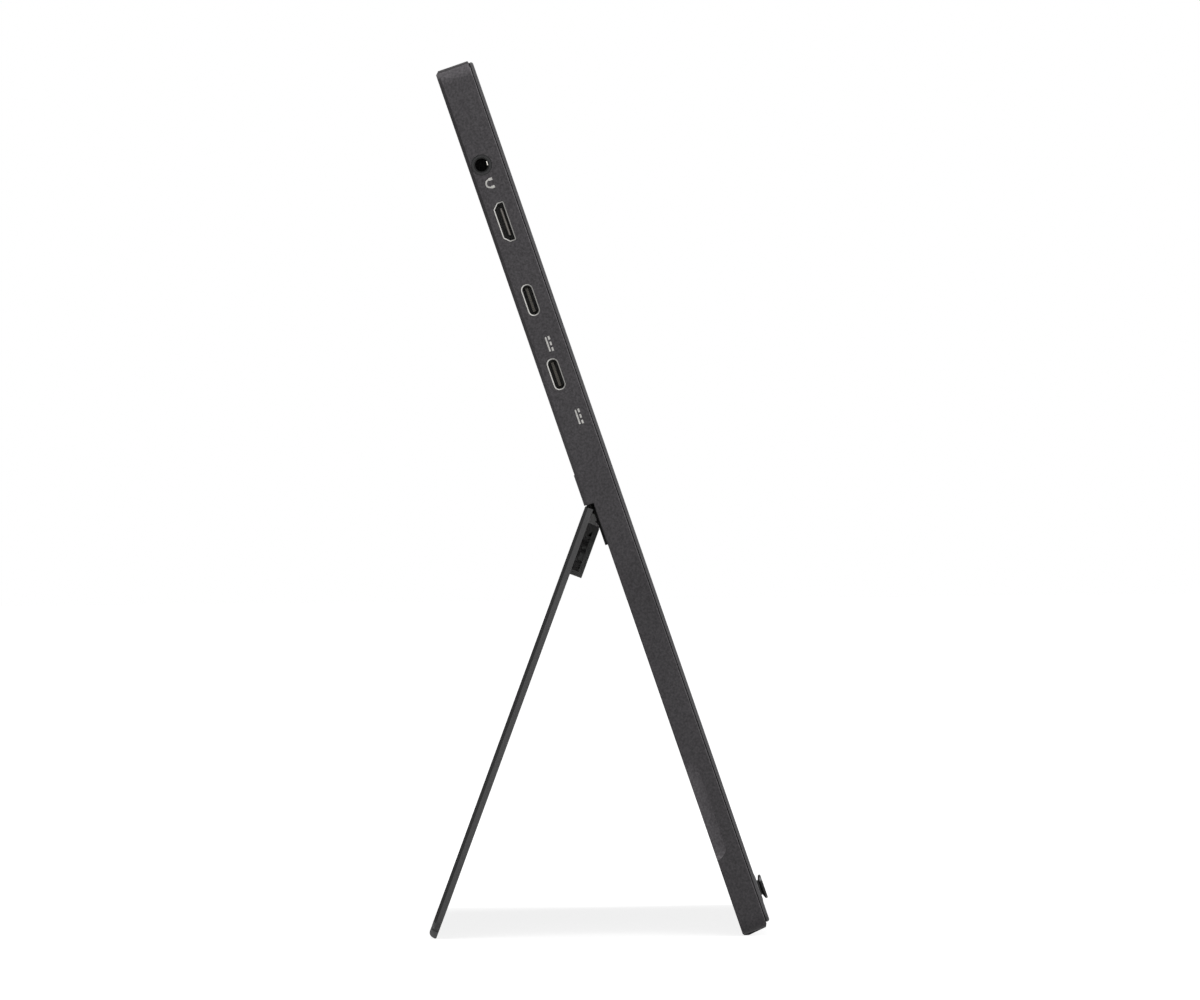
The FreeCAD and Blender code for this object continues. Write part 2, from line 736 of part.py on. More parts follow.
def make_panel():
    cell = new_body("lcd_cell")
    add(cell, "y", "cell_front", "cell_front + cell_thick",
        rect(f"-{CELL_HALF}", CELL_HALF, CELL_LOW, CELL_TOP))

    led_top = f"{CELL_LOW} + led_gap + led_high"
    optic_half = f"({CELL_HALF} - optic_inset)"
    guide = new_body("light_guide")
    add(guide, "y", "optic_front", "optic_front + optic_thick",
        rect(f"-{optic_half}", optic_half, f"{led_top} + led_gap", f"{CELL_TOP} - optic_inset"))

    bar = new_body("led_bar")
    bar_back = "optic_front + optic_thick - led_gap"
    add(bar, "y", f"{bar_back} - led_strip", bar_back,
        rect(f"-{optic_half}", optic_half, f"{CELL_LOW} + led_gap", led_top))
    first = "-(led_count - 1)*led_pitch/2"
    chip = add(bar, "y", "optic_front", f"{bar_back} - led_strip",
               rect(f"{first} - led_size/2", f"{first} + led_size/2", f"{CELL_LOW} + 2*led_gap", led_top))
    row = bar.newObject("PartDesign::LinearPattern", "led_row")
    row.Originals = [chip]
    row.Direction = (chip.Profile[0], ["H_Axis"])
    bind(row, "Length", "(led_count - 1)*led_pitch")
    bind(row, "Occurrences", "led_count")
    bar.Tip = row
    document.recompute()

    tray = new_body("panel_tray")
    inner = f"({CELL_HALF} + tray_gap)"
    outer = f"({inner} + tray_metal)"
    add(tray, "y", "tray_front", "tray_back",
        rect(f"-{outer}", outer,
             f"{CELL_LOW} - tray_gap - tray_metal", f"{CELL_TOP} + tray_gap + tray_metal"))
    cut(tray, "y", "tray_front - over", "tray_back - tray_metal",
        rect(f"-{inner}", inner, f"{CELL_LOW} - tray_gap", f"{CELL_TOP} + tray_gap"))


def make_boards():
    hole = "screw_radius + screw_gap"
    main = new_body("main_board")
    back = "main_front + board_thick"
    add(main, "y", "main_front", back,
        rect(f"{LEFT_FACE} + main_left", "-main_right", "main_low", "main_top"))
    cut(main, "y", "main_front - over", f"{back} + over", *[(x, z, hole) for x, z in MAIN_SCREWS])
    jack_half = "jack_body_high/2 + socket_gap"
    cut(main, "y", "main_front - over", f"{back} + over",
        rect(f"{LEFT_FACE} - over", f"{SOCKET_MOUTH} + jack_nose_long + jack_body_long + socket_gap",
             f"{JACK_HIGH} - ({jack_half})", f"{JACK_HIGH} + {jack_half}"))

    can = new_body("shield_can")
    add(can, "y", "main_front - can_deep", "main_front",
        rect("-can_left", "-can_right", "can_low", "can_top"))
    cut(can, "y", "main_front - can_deep + can_metal", "main_front + over",
        rect("-can_left + can_metal", "-can_right - can_metal",
             "can_low + can_metal", "can_top - can_metal"))

    driver = new_body("panel_board")
    add(driver, "y", "panel_board_front", "panel_board_front + board_thick",
        rect("-panel_board_left", "panel_board_right", "panel_board_low", "panel_board_top"))

    key = new_body("key_board")
    key_back = "key_front + board_thick"
    add(key, "y", "key_front", key_back, rect("-key_left", "-key_right", "key_low", "key_top"))
    cut(key, "y", "key_front - over", f"{key_back} + over", *[(x, z, hole) for x, z in KEY_SCREWS])

    make_flat_cable("display_cable", "display_cable_left", "display_cable_wide",
                    "panel_board_front + board_thick", "panel_board_low")
    make_flat_cable("key_cable", "key_cable_left", "key_cable_wide", key_back, "key_low")


def make_flat_cable(label, left, wide, front, low):
    """Flat cable glued to the back of a lower board, folded back to the front of the main board."""
    body = new_body(label)
    back = f"({front} + cable_thick)"
    top_front = "(main_front - cable_thick)"
    add(body, "x", f"-{left}", f"-{left} + {wide}",
        [(front, low), (back, low), (back, "cable_fold"), ("main_front", "cable_fold"),
         ("main_front", "main_low + cable_tail/2"), (top_front, "main_low + cable_tail/2"),
         (top_front, "cable_fold + cable_thick"), (front, "cable_fold + cable_thick")])
    return body


def make_usb_socket(name, height):
    shell = new_body("usb_c_shell_" + name)
    rear = f"{SOCKET_MOUTH} + usb_deep"
    add(shell, "x", SOCKET_MOUTH, rear, socket_outline("usb_depth", height, "usb_thick", "usb_long"))
    dress(shell, "Fillet", "usb_round", lambda middle, along: runs_along(along, "x"))
    hollow_out(shell, "socket_metal")
    tongue = new_body("usb_c_tongue_" + name)
    add(tongue, "x", f"{SOCKET_MOUTH} + tongue_back", f"{rear} - socket_metal",
        socket_outline("usb_depth", height, "tongue_thick", "tongue_long"))
    add(tongue, "x", f"{rear} - socket_metal - insulator_long", f"{rear} - socket_metal",
        socket_outline("usb_depth", height, "insulator_thick", "tongue_long"))


def make_hdmi_socket():
    shell = new_body("hdmi_shell")
    rear = f"{SOCKET_MOUTH} + hdmi_deep"
    add(shell, "x", SOCKET_MOUTH, rear, hdmi_outline())
    dress(shell, "Fillet", "hdmi_round", lambda middle, along: runs_along(along, "x"))
    hollow_out(shell, "socket_metal")
    # solder foot that closes the gap to the board
    add(shell, "x", f"{SOCKET_MOUTH} + hdmi_deep/2", rear,
        rect("hdmi_depth + hdmi_thick/2 - socket_metal/2", "main_front",
             f"{HDMI_HIGH} - hdmi_tongue_long/2", f"{HDMI_HIGH} + hdmi_tongue_long/2"))
    tongue = new_body("hdmi_tongue")
    add(tongue, "x", f"{SOCKET_MOUTH} + tongue_back", f"{rear} - socket_metal",
        socket_outline("(hdmi_depth - hdmi_tongue_shift)", HDMI_HIGH,
                       "hdmi_tongue_thick", "hdmi_tongue_long"))
    add(tongue, "x", f"{rear} - socket_metal - insulator_long", f"{rear} - socket_metal",
        hdmi_outline("-(socket_metal + socket_gap)"))


def contact_start(number):
    return f"({SOCKET_MOUTH} + jack_nose_long + {number}*contact_step)"


def make_headphone_jack():
    body = new_body("headphone_jack")
    shoulder = f"{SOCKET_MOUTH} + jack_nose_long"
    add(body, "x", shoulder, f"{shoulder} + jack_body_long",
        socket_outline("jack_depth", JACK_HIGH, "jack_body_thick", "jack_body_high"))
    add(body, "x", SOCKET_MOUTH, shoulder, ("jack_depth", JACK_HIGH, "jack_nose"))
    cut(body, "x", SOCKET_MOUTH, f"{SOCKET_MOUTH} + jack_bore_long", ("jack_depth", JACK_HIGH, "jack_bore"))
    # slots for the contact springs, in the front wall of the bore
    front = "jack_depth - jack_body_thick/2"
    contacts = []
    for number in (0, 1, 2):
        start = contact_start(number + 0.3)
        cut(body, "x", start, f"{start} + contact_long + 2*socket_gap",
            rect(f"{front} - over", "jack_depth - jack_bore/2",
                 f"{JACK_HIGH} - jack_slot/2", f"{JACK_HIGH} + jack_slot/2"))
        contact = document.addObject("Part::Box", f"jack_contact_{number + 1}")
        bind(contact, "Length", "contact_long")
        bind(contact, "Width", "contact_thick")
        bind(contact, "Height", "contact_wide")
        bind(contact, "Placement", f"placement(vector({start} + socket_gap;"
             f" jack_depth - jack_bore - pin_gap - contact_thick;"
             f" {JACK_HIGH} - contact_wide/2); rotation(0; 0; 0))")
        contacts.append(contact)
    group("jack_contacts", contacts)


def make_joystick():
    base = new_body("joystick_base")
    add(base, "y", "base_front", "key_front",
        rect("-stick_x - base_half", "-stick_x + base_half",
             "stick_high - base_half", "stick_high + base_half"))
    cut(base, "y", "base_front - over", "base_floor", ("-stick_x", "stick_high", "base_cavity"))
    bearing = "pivot_pin + pin_gap"
    cut(base, "x", "-stick_x - base_half - over", "-stick_x + base_half + over",
        ("stick_pivot", "stick_high", bearing))

    dome = new_body("click_dome")
    spin(dome, "x", STICK_PLACE,
         [("dome_top", "0"), ("base_floor - dome_metal", "dome_radius"), ("base_floor", "dome_radius"),
          ("base_floor", "dome_radius - dome_metal"), ("dome_top + dome_metal", "0")])

    ring_front = "stick_pivot - pivot_half"
    ring_back = "stick_pivot + pivot_half"
    rocker = new_body("joystick_rocker")
    add(rocker, "y", ring_front, ring_back, ("-stick_x", "stick_high", "ring_outer"),
        ("-stick_x", "stick_high", "ring_inner"))
    for side in SIDES.values():
        low, top = span(side, "(ring_inner + ring_outer)/2", "base_half - pivot_half")
        add(rocker, "x", f"-stick_x + {low}", f"-stick_x + {top}",
            ("stick_pivot", "stick_high", "pivot_pin"))
    cut(rocker, "z", "stick_high - base_half", "stick_high + base_half",
        ("-stick_x", "stick_pivot", bearing))

    stem = new_body("joystick_stem")
    add(stem, "y", ring_front, ring_back, ("-stick_x", "stick_high", "hub_radius"))
    add(stem, "y", "sleeve_front", "stick_pivot", ("-stick_x", "stick_high", "sleeve_radius"))
    for side in SIDES.values():
        low, top = span(side, "hub_radius/2", "ring_outer - pin_gap")
        add(stem, "z", f"stick_high + {low}", f"stick_high + {top}",
            ("-stick_x", "stick_pivot", "pivot_pin"))
    cut(stem, "y", "sleeve_front - over", f"{ring_back} + over", ("-stick_x", "stick_high", "sleeve_bore"))

    cap = new_body("joystick_cap")
    spin(cap, "x", STICK_PLACE,
         [("-cap_face", "0"), ("-cap_face", "cap_radius - cap_soften"),
          ("-cap_face + cap_soften", "cap_radius"), ("-cap_face + cap_edge - cap_soften", "cap_radius"),
          ("-cap_face + cap_edge", "cap_radius - cap_soften"),
          ("-cap_neck_front", "cap_neck"), ("cap_neck_back", "cap_neck"),
          ("cap_neck_back", "plunger_radius"), ("plunger_end", "plunger_radius"), ("plunger_end", "0")])


# start of a turned sketch: the hinge axis in each frame, turned from straight down towards the screen
GUIDE_TURN = f"placement(vector(0; {PIVOT_HIGH}; -case_thick); rotation(0; 0; 0))"
RAIL_TURN = "placement(vector(0; 0; 0); rotation(vector(1; 0; 0); -rail_start))"
CHEEK_TURN = "placement(vector(0; 0; 0); rotation(vector(1; 0; 0); -cheek_start))"


def make_hinge_guide(name, side):
    """Fixed block with the curved groove, and an ear screwed to the case beside the pocket."""
    body = new_body("hinge_guide_" + name)
    back = "low_thick + guide_proud"
    low, top = span(side, "guide_in", "guide_out")
    add(body, "y", "pocket_floor", back,
        rect(low, top, "step_high - guide_low", "step_high + guide_rise"))
    ear_low, ear_top = span(side, "guide_out - over", "guide_ear_out")
    add(body, "y", "low_thick", back,
        rect(ear_low, ear_top, "step_high - guide_low", "step_high - ear_top"))
    low, top = span(side, "guide_in - over", "guide_in + groove_deep")
    spin(body, "y", GUIDE_TURN,
         rect(low, top, "-rail_outer - groove_gap", "-rail_inner + groove_gap"),
         sweep="groove_end", remove=True, reverse=True)
    low, top = span(side, "pad_in - pad_gap", "pad_out + pad_gap")
    cut(body, "y", "pad_front - pad_gap", "pad_back",
        rect(low, top, f"{PIVOT_HIGH} - pad_half - pad_gap", f"{PIVOT_HIGH} + pad_half + pad_gap"))
    for drop in ("ear_screw_upper", "ear_screw_lower"):
        height = f"step_high - {drop}"
        cut(body, "y", "low_thick - over", f"{back} + over",
            (f"{side}*ear_screw_x", height, "screw_radius + screw_gap"))
        cut(body, "y", f"{back} - ear_screw_head_thick", f"{back} + over",
            (f"{side}*ear_screw_x", height, "ear_screw_head + screw_gap"))

    pad = new_body("friction_pad_" + name)
    low, top = span(side, "pad_in", "pad_out")
    add(pad, "y", "pad_front", "pad_back",
        rect(low, top, f"{PIVOT_HIGH} - pad_half", f"{PIVOT_HIGH} + pad_half"))
    cut(pad, "x", f"{low} - over", f"{top} + over", ("case_thick", PIVOT_HIGH, "rail_outer + pad_gap"))


def make_hinge_arm(name, side):
    """Moving bracket: a base plate on the leaf, a cheek at its outer end and the curved rail beyond it."""
    body = new_body("hinge_arm_" + name, STAND_PLACE)
    foot = "-leaf_skin"
    low, top = span(side, "arm_in", "guide_in - cheek_margin")
    add(body, "y", f"{foot} - arm_thick", foot, rect(low, top, "-arm_low", "-arm_top"))
    low, top = span(side, "cheek_in", "guide_in - cheek_margin")
    add(body, "x", low, top,
        [(foot, "-root_top"), (foot, "-root_low"), (f"{foot} - arm_thick", "-root_low"),
         ("-root_deep", "-root_back"), ("-root_shoulder", "-root_top")])
    # tab that hides the gap between the leaf and the step
    add(body, "x", low, top,
        [("-tab_back", "-root_shoulder"), ("-tab_back", "0"), ("-tab_edge", "0"),
         ("-tab_edge", "tab_edge_top"), ("-tab_back", "tab_top"), ("-tab_tip", "tab_tip_top"),
         ("-tab_front", "0"), ("-root_shoulder", "-root_shoulder")])
    spin(body, "y", CHEEK_TURN,
         rect(low, top, "-rail_outer - cheek_margin", "-rail_inner + cheek_margin"),
         sweep="rail_end - cheek_start", reverse=True)
    low, top = span(side, "guide_in - cheek_margin - over", "guide_in - cheek_margin + rail_long")
    spin(body, "y", RAIL_TURN, rect(low, top, "-rail_outer", "-rail_inner"),
         sweep="rail_end - rail_start", reverse=True)
    for number in (0, 1, 2):
        cut(body, "y", f"{foot} - arm_thick - over", f"{foot} + over",
            (f"{side}*(arm_screw_first + {number}*arm_screw_pitch)", "-arm_screw_low",
             "screw_radius + screw_gap"))


def make_hinge_cover(name, side):
    """Plastic cover over the arm, with cross ribs and a post inside and its outer end open."""
    body = new_body("hinge_cover_" + name, STAND_PLACE)
    low, top = span(side, "cover_in", "cover_out")
    add(body, "x", low, top,
        [("-leaf_thick", "-cover_top"), ("-cover_brow_deep", "-cover_brow"),
         ("-cover_deep", "-cover_slope"), ("-cover_deep", "-cover_low"), ("-leaf_thick", "-cover_low")])
    inner_low, inner_top = span(side, "cover_in + cover_wall", "cover_out + over")
    cut(body, "x", inner_low, inner_top,
        [("-leaf_thick + over", "-cover_top - cover_roof"),
         ("-cover_brow_deep + cover_roof/2", "-cover_brow - cover_roof"),
         ("-cover_deep + cover_wall", "-cover_slope - cover_roof/2"),
         ("-cover_deep + cover_wall", "-cover_low + cover_wall"),
         ("-leaf_thick + over", "-cover_low + cover_wall")])
    rib_low, rib_top = span(side, "cover_in + cover_wall/2", "cover_out - cover_wall")
    ribs = [rect("-cover_deep + cover_wall/2", "-cover_rib_deep",
                 f"-{height} - cover_rib_thick/2", f"-{height} + cover_rib_thick/2")
            for height in ("cover_rib_upper", "cover_rib_lower")]
    add(body, "x", rib_low, rib_top, *ribs)
    post_low, post_top = span(side, "cover_out - cover_wall - cover_post_wide", "cover_out - cover_wall")
    add(body, "x", post_low, post_top,
        rect("-cover_deep + cover_wall/2", "-cover_rib_deep",
             "-cover_post - cover_post_wide/2", "-cover_post + cover_post_wide/2"))


def make_stand():
    skin = new_body("stand_skin", STAND_PLACE)
    half_width = SIZES["case_width"]/2
    add(skin, "y", "-leaf_thick", "0", rect(LEFT_FACE, "case_width/2", "-leaf_low", "-leaf_top"))

    def low_corner(middle, along):
        return runs_along(along, "y") and near(middle.z, -SIZES["leaf_low"])

    def outer_side(middle, along):
        return near(middle.y, 0) and near(abs(middle.x), half_width)

    dress(skin, "Fillet", "corner_round", low_corner)
    dress(skin, "Chamfer", "leaf_bevel", outer_side)
    inner = "case_width/2 - leaf_rim"
    cut(skin, "y", "-leaf_thick - over", "-leaf_skin",
        rect(f"-({inner})", inner, "-leaf_low + leaf_rim", "-leaf_top - leaf_rim"))
    for side in SIDES.values():
        low, top = span(side, "hatch_in", "hatch_out")
        cut(skin, "y", "-leaf_thick - over", "-leaf_skin",
            rect(low, top, "-leaf_top - leaf_rim - over", "over"))
        for number in (0, 1, 2):
            cut(skin, "y", "-leaf_skin - over", "-leaf_skin + arm_screw_bite",
                (f"{side}*(arm_screw_first + {number}*arm_screw_pitch)", "-arm_screw_low",
                 "screw_radius + screw_gap"))

    plate = new_body("stand_inner_plate", STAND_PLACE)
    inset = "case_width/2 - leaf_rim - plate_gap"
    add(plate, "y", "-leaf_thick", "-leaf_skin - plate_gap",
        rect(f"-({inset})", inset, "-leaf_low + leaf_rim + plate_gap", "-leaf_top - leaf_rim - plate_gap"))
    for side in SIDES.values():
        low, top = span(side, "hatch_in", "hatch_out")
        cut(plate, "y", "-leaf_thick - over", "0", rect(low, top, "-hatch_low", "0"))

    foot = new_body("stand_foot", STAND_PLACE)
    reach = "case_width/2 - leaf_foot_inset"

    def floor_at(depth):
        """Height in the stand frame of the level surface that the foot stands on."""
        return f"-({PIVOT_LEVEL} + ({depth})*sin({LEAN}))/cos({LEAN})"

    add(foot, "x", f"-({reach})", reach,
        [("0", "-leaf_low"), ("0", "-leaf_low - leaf_foot_start"),
         ("-leaf_foot_flat", floor_at("-leaf_foot_flat")),
         ("-leaf_thick", floor_at("-leaf_thick")), ("-leaf_thick", "-leaf_low")])
    corner = -SIZES["leaf_low"] - SIZES["leaf_foot_start"]

    def outer_corner(middle, along):
        return runs_along(along, "x") and near(middle.y, 0) and near(middle.z, corner)

    dress(foot, "Fillet", "leaf_foot_round", outer_corner)


def make_case_foot(name, side):
    """Rubber foot keyed into the bottom wall, with a flat that lies level when the monitor leans back."""
    body = new_body("foot_" + name)
    back = "low_thick - foot_edge"
    low, top = span(side, "foot_in", "foot_out")
    add(body, "x", low, top,
        [("foot_key_front", "foot_key"), ("foot_key_back", "foot_key"), ("foot_key_back", "0"), (back, "0"),
         (back, "-foot_drop"), (f"{back} - foot_flat", "-foot_drop - foot_flat*tan(tilt)"),
         ("foot_front", "-foot_front_drop"), ("foot_front", "0"), ("foot_key_front", "0")])


def make_screws():
    boards = []
    for number, (x, z) in enumerate(MAIN_SCREWS, start=1):
        boards.append(screw(f"main_screw_{number}", x, z, "main_front - screw_head_thick",
                            "screw_head", "screw_head_thick", "screw_long"))
    for number, (x, z) in enumerate(KEY_SCREWS, start=1):
        boards.append(screw(f"key_screw_{number}", x, z, "key_front - screw_head_thick",
                            "screw_head", "screw_head_thick", "screw_long"))
    group("board_screws", boards)

    guides = []
    arms = []
    for name, side in SIDES.items():
        for drop in ("ear_screw_upper", "ear_screw_lower"):
            across = f"{side}*ear_screw_x"
            up = f"step_high - {drop}"
            head = rod(f"{name}_{drop}_head", across, "low_thick + guide_proud - ear_screw_head_thick", up,
                       "ear_screw_head", "ear_screw_head_thick")
            shank = rod(f"{name}_{drop}_shank", across, "low_thick - ear_screw_long", up, "screw_radius",
                        "ear_screw_long + guide_proud - ear_screw_head_thick")
            whole = document.addObject("Part::Fuse", f"{name}_{drop}_screw")
            whole.Base = head
            whole.Tool = shank
            guides.append(whole)
        for number in (0, 1, 2):
            across = f"{side}*(arm_screw_first + {number}*arm_screw_pitch)"
            arms.append(screw(f"{name}_arm_screw_{number + 1}", across, "-arm_screw_low",
                              "-leaf_skin - arm_thick - arm_screw_head_thick", "screw_head",
                              "arm_screw_head_thick", "arm_thick + arm_screw_bite"))
    group("guide_screws", guides)
    group("arm_screws", arms, STAND_PLACE)


def centre_on_footprint():
    """Move the origin to the middle of the footprint, on the surface that the object stands on."""
    boxes = [piece.Shape.BoundBox for piece in subparts]
    front = min(box.YMin for box in boxes)
    back = max(box.YMax for box in boxes)
    sheet.set(sheet.getCellFromAlias("back_shift"), str(-(front + back)/2))
    document.recompute()


def check_and_write():
    failed = [thing.Label for thing in document.Objects if {"Invalid", "Error"} & set(thing.State)]
    if failed:
        raise RuntimeError(f"objects that failed: {failed}")
    bad = [piece.Label for piece in subparts if piece.Shape.isNull() or not piece.Shape.isValid()]
    if bad:
        raise RuntimeError(f"pieces with a bad shape: {bad}")
    os.makedirs("parts", exist_ok=True)
    for piece in subparts:
        piece.Shape.exportStep(f"parts/{piece.Label}.step")
        print(f"{piece.Label}: {len(piece.Shape.Solids)} solid, {piece.Shape.Volume:.1f} cubic mm")


make_rear_housing()
make_front_bezel()
make_bezel_tape()
make_panel()
make_boards()
for socket_name, socket_height in USB_HIGH.items():
    make_usb_socket(socket_name, socket_height)
make_hdmi_socket()
make_headphone_jack()
make_joystick()
for side_name, side_sign in SIDES.items():
    make_hinge_guide(side_name, side_sign)
    make_hinge_arm(side_name, side_sign)
    make_hinge_cover(side_name, side_sign)
    make_case_foot(side_name, side_sign)
make_stand()
make_screws()
document.recompute()
centre_on_footprint()
check_and_write()
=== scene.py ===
import json
import math

import bpy
from mathutils import Euler, Matrix, Vector


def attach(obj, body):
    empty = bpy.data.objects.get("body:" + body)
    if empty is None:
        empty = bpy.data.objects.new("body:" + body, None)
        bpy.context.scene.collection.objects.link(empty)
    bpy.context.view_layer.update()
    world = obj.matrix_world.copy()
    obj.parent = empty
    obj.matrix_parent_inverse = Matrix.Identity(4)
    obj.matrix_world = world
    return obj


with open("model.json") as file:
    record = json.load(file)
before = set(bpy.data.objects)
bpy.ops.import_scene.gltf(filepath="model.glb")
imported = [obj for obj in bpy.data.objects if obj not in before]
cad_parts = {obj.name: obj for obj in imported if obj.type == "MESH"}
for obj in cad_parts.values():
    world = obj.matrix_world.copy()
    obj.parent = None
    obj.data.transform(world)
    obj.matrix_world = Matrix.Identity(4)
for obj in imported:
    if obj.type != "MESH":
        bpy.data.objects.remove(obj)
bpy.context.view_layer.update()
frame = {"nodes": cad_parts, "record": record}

nodes = frame["nodes"]

# lengths are in millimetres, and MM turns them into the scene's metres
MM = 0.001
# the case leans back by TILT and the open leaf leans the other way by LEAN
TILT = math.radians(18.5)
LEAN = math.radians(20.7)
CASE_ORIGIN = Vector((0.0, -46.8202*MM, 2.6617*MM))
HINGE = Vector((0.0, 2.6889*MM, 117.2223*MM))

# places in the case's own frame: x from the middle, depth behind the front face, height above the bottom;
# a pair is a stretch from one end to the other
CASE_HIGH = 249.4
LEFT_FACE = -179.0
ON_FACE = 0.05
UPPER_BEVEL_HIGH = (125.0, 200.0)
LOWER_CASE_HIGH = (20.0, 220.0)
SHADE_STARTS = (60.0, 95.0)
SHADE_ENDS = (100.0, 116.0)
SHEEN_HIGH = (CASE_HIGH - 4.6, CASE_HIGH - 1.0)
TOP_LINE_LOW = CASE_HIGH - 0.75
SCOOP_X = (-178.96, -165.0)
SCOOP_DEPTH = (3.5, 8.1)
SCOOP_HIGH = (19.0, 52.0)
SCOOP_END_HIGH = (20.5, 24.0)
SCREEN_HALF_WIDE = 172.3
SCREEN_HALF_HIGH = 107.7
SCREEN_MIDDLE = 133.1

# sockets, jack and joystick in the same frame
SOCKET_MOUTH = LEFT_FACE + 0.2
SHELL_RIM_X = SOCKET_MOUTH + 0.12
SHELL_FRONT_DEPTH = (5.2, 7.2)
CONTACT_PITCH = 0.5
TONGUE_X = SOCKET_MOUTH + 6.5
TONGUE_END_X = SOCKET_MOUTH + 1.25
TONGUE_END_DEPTH = (5.6, 5.92)
HDMI_LOW = CASE_HIGH - 55.0
JACK_DEPTH = 6.85
JACK_HIGH = CASE_HIGH - 28.1
JACK_RIM = 2.15
STICK_X = -150.0
STICK_HIGH = 10.15
GLINT_STARTS = (STICK_HIGH + 1.5, STICK_HIGH + 2.2)
GLINT_ENDS = (STICK_HIGH + 2.4, STICK_HIGH + 2.9)
GLINT_X = (STICK_X - 2.35, STICK_X - 1.85)

# places in the leaf's own frame: x from the middle, depth and height from the hinge axis
COVER_MOUTH = 141.6
COVER_BACK = -4.6
COVER_HIGH = (-17.7, -4.5)
GUSSET_HIGH = (-4.0, -1.2)

# printed signs on the left side: places as a depth and a distance from the top edge, bars as half sizes
PRINT = (0.72, 0.71, 0.68, 1.0)
CURRENT_SIGNS = ((5.8, 80.1), (4.6, 101.4))
CURRENT_LINE = (0.21, 2.05)
CURRENT_DASH = (0.25, 0.5)
DASH_STEPS = (-1.6, 0.0, 1.6)
DASH_SHIFT = 0.85
HEADSET_DEPTH = 6.3
HEADSET_DOWN = 33.6
HEADSET_RADIUS = 1.1
HEADSET_LINE = 0.2
EAR_PAD = (0.5, 0.36)
EAR_SHIFT = 0.45

# range of a unit normal's parts on a face that is cut at about 45 degrees
SLANTED = (0.6, 0.8)


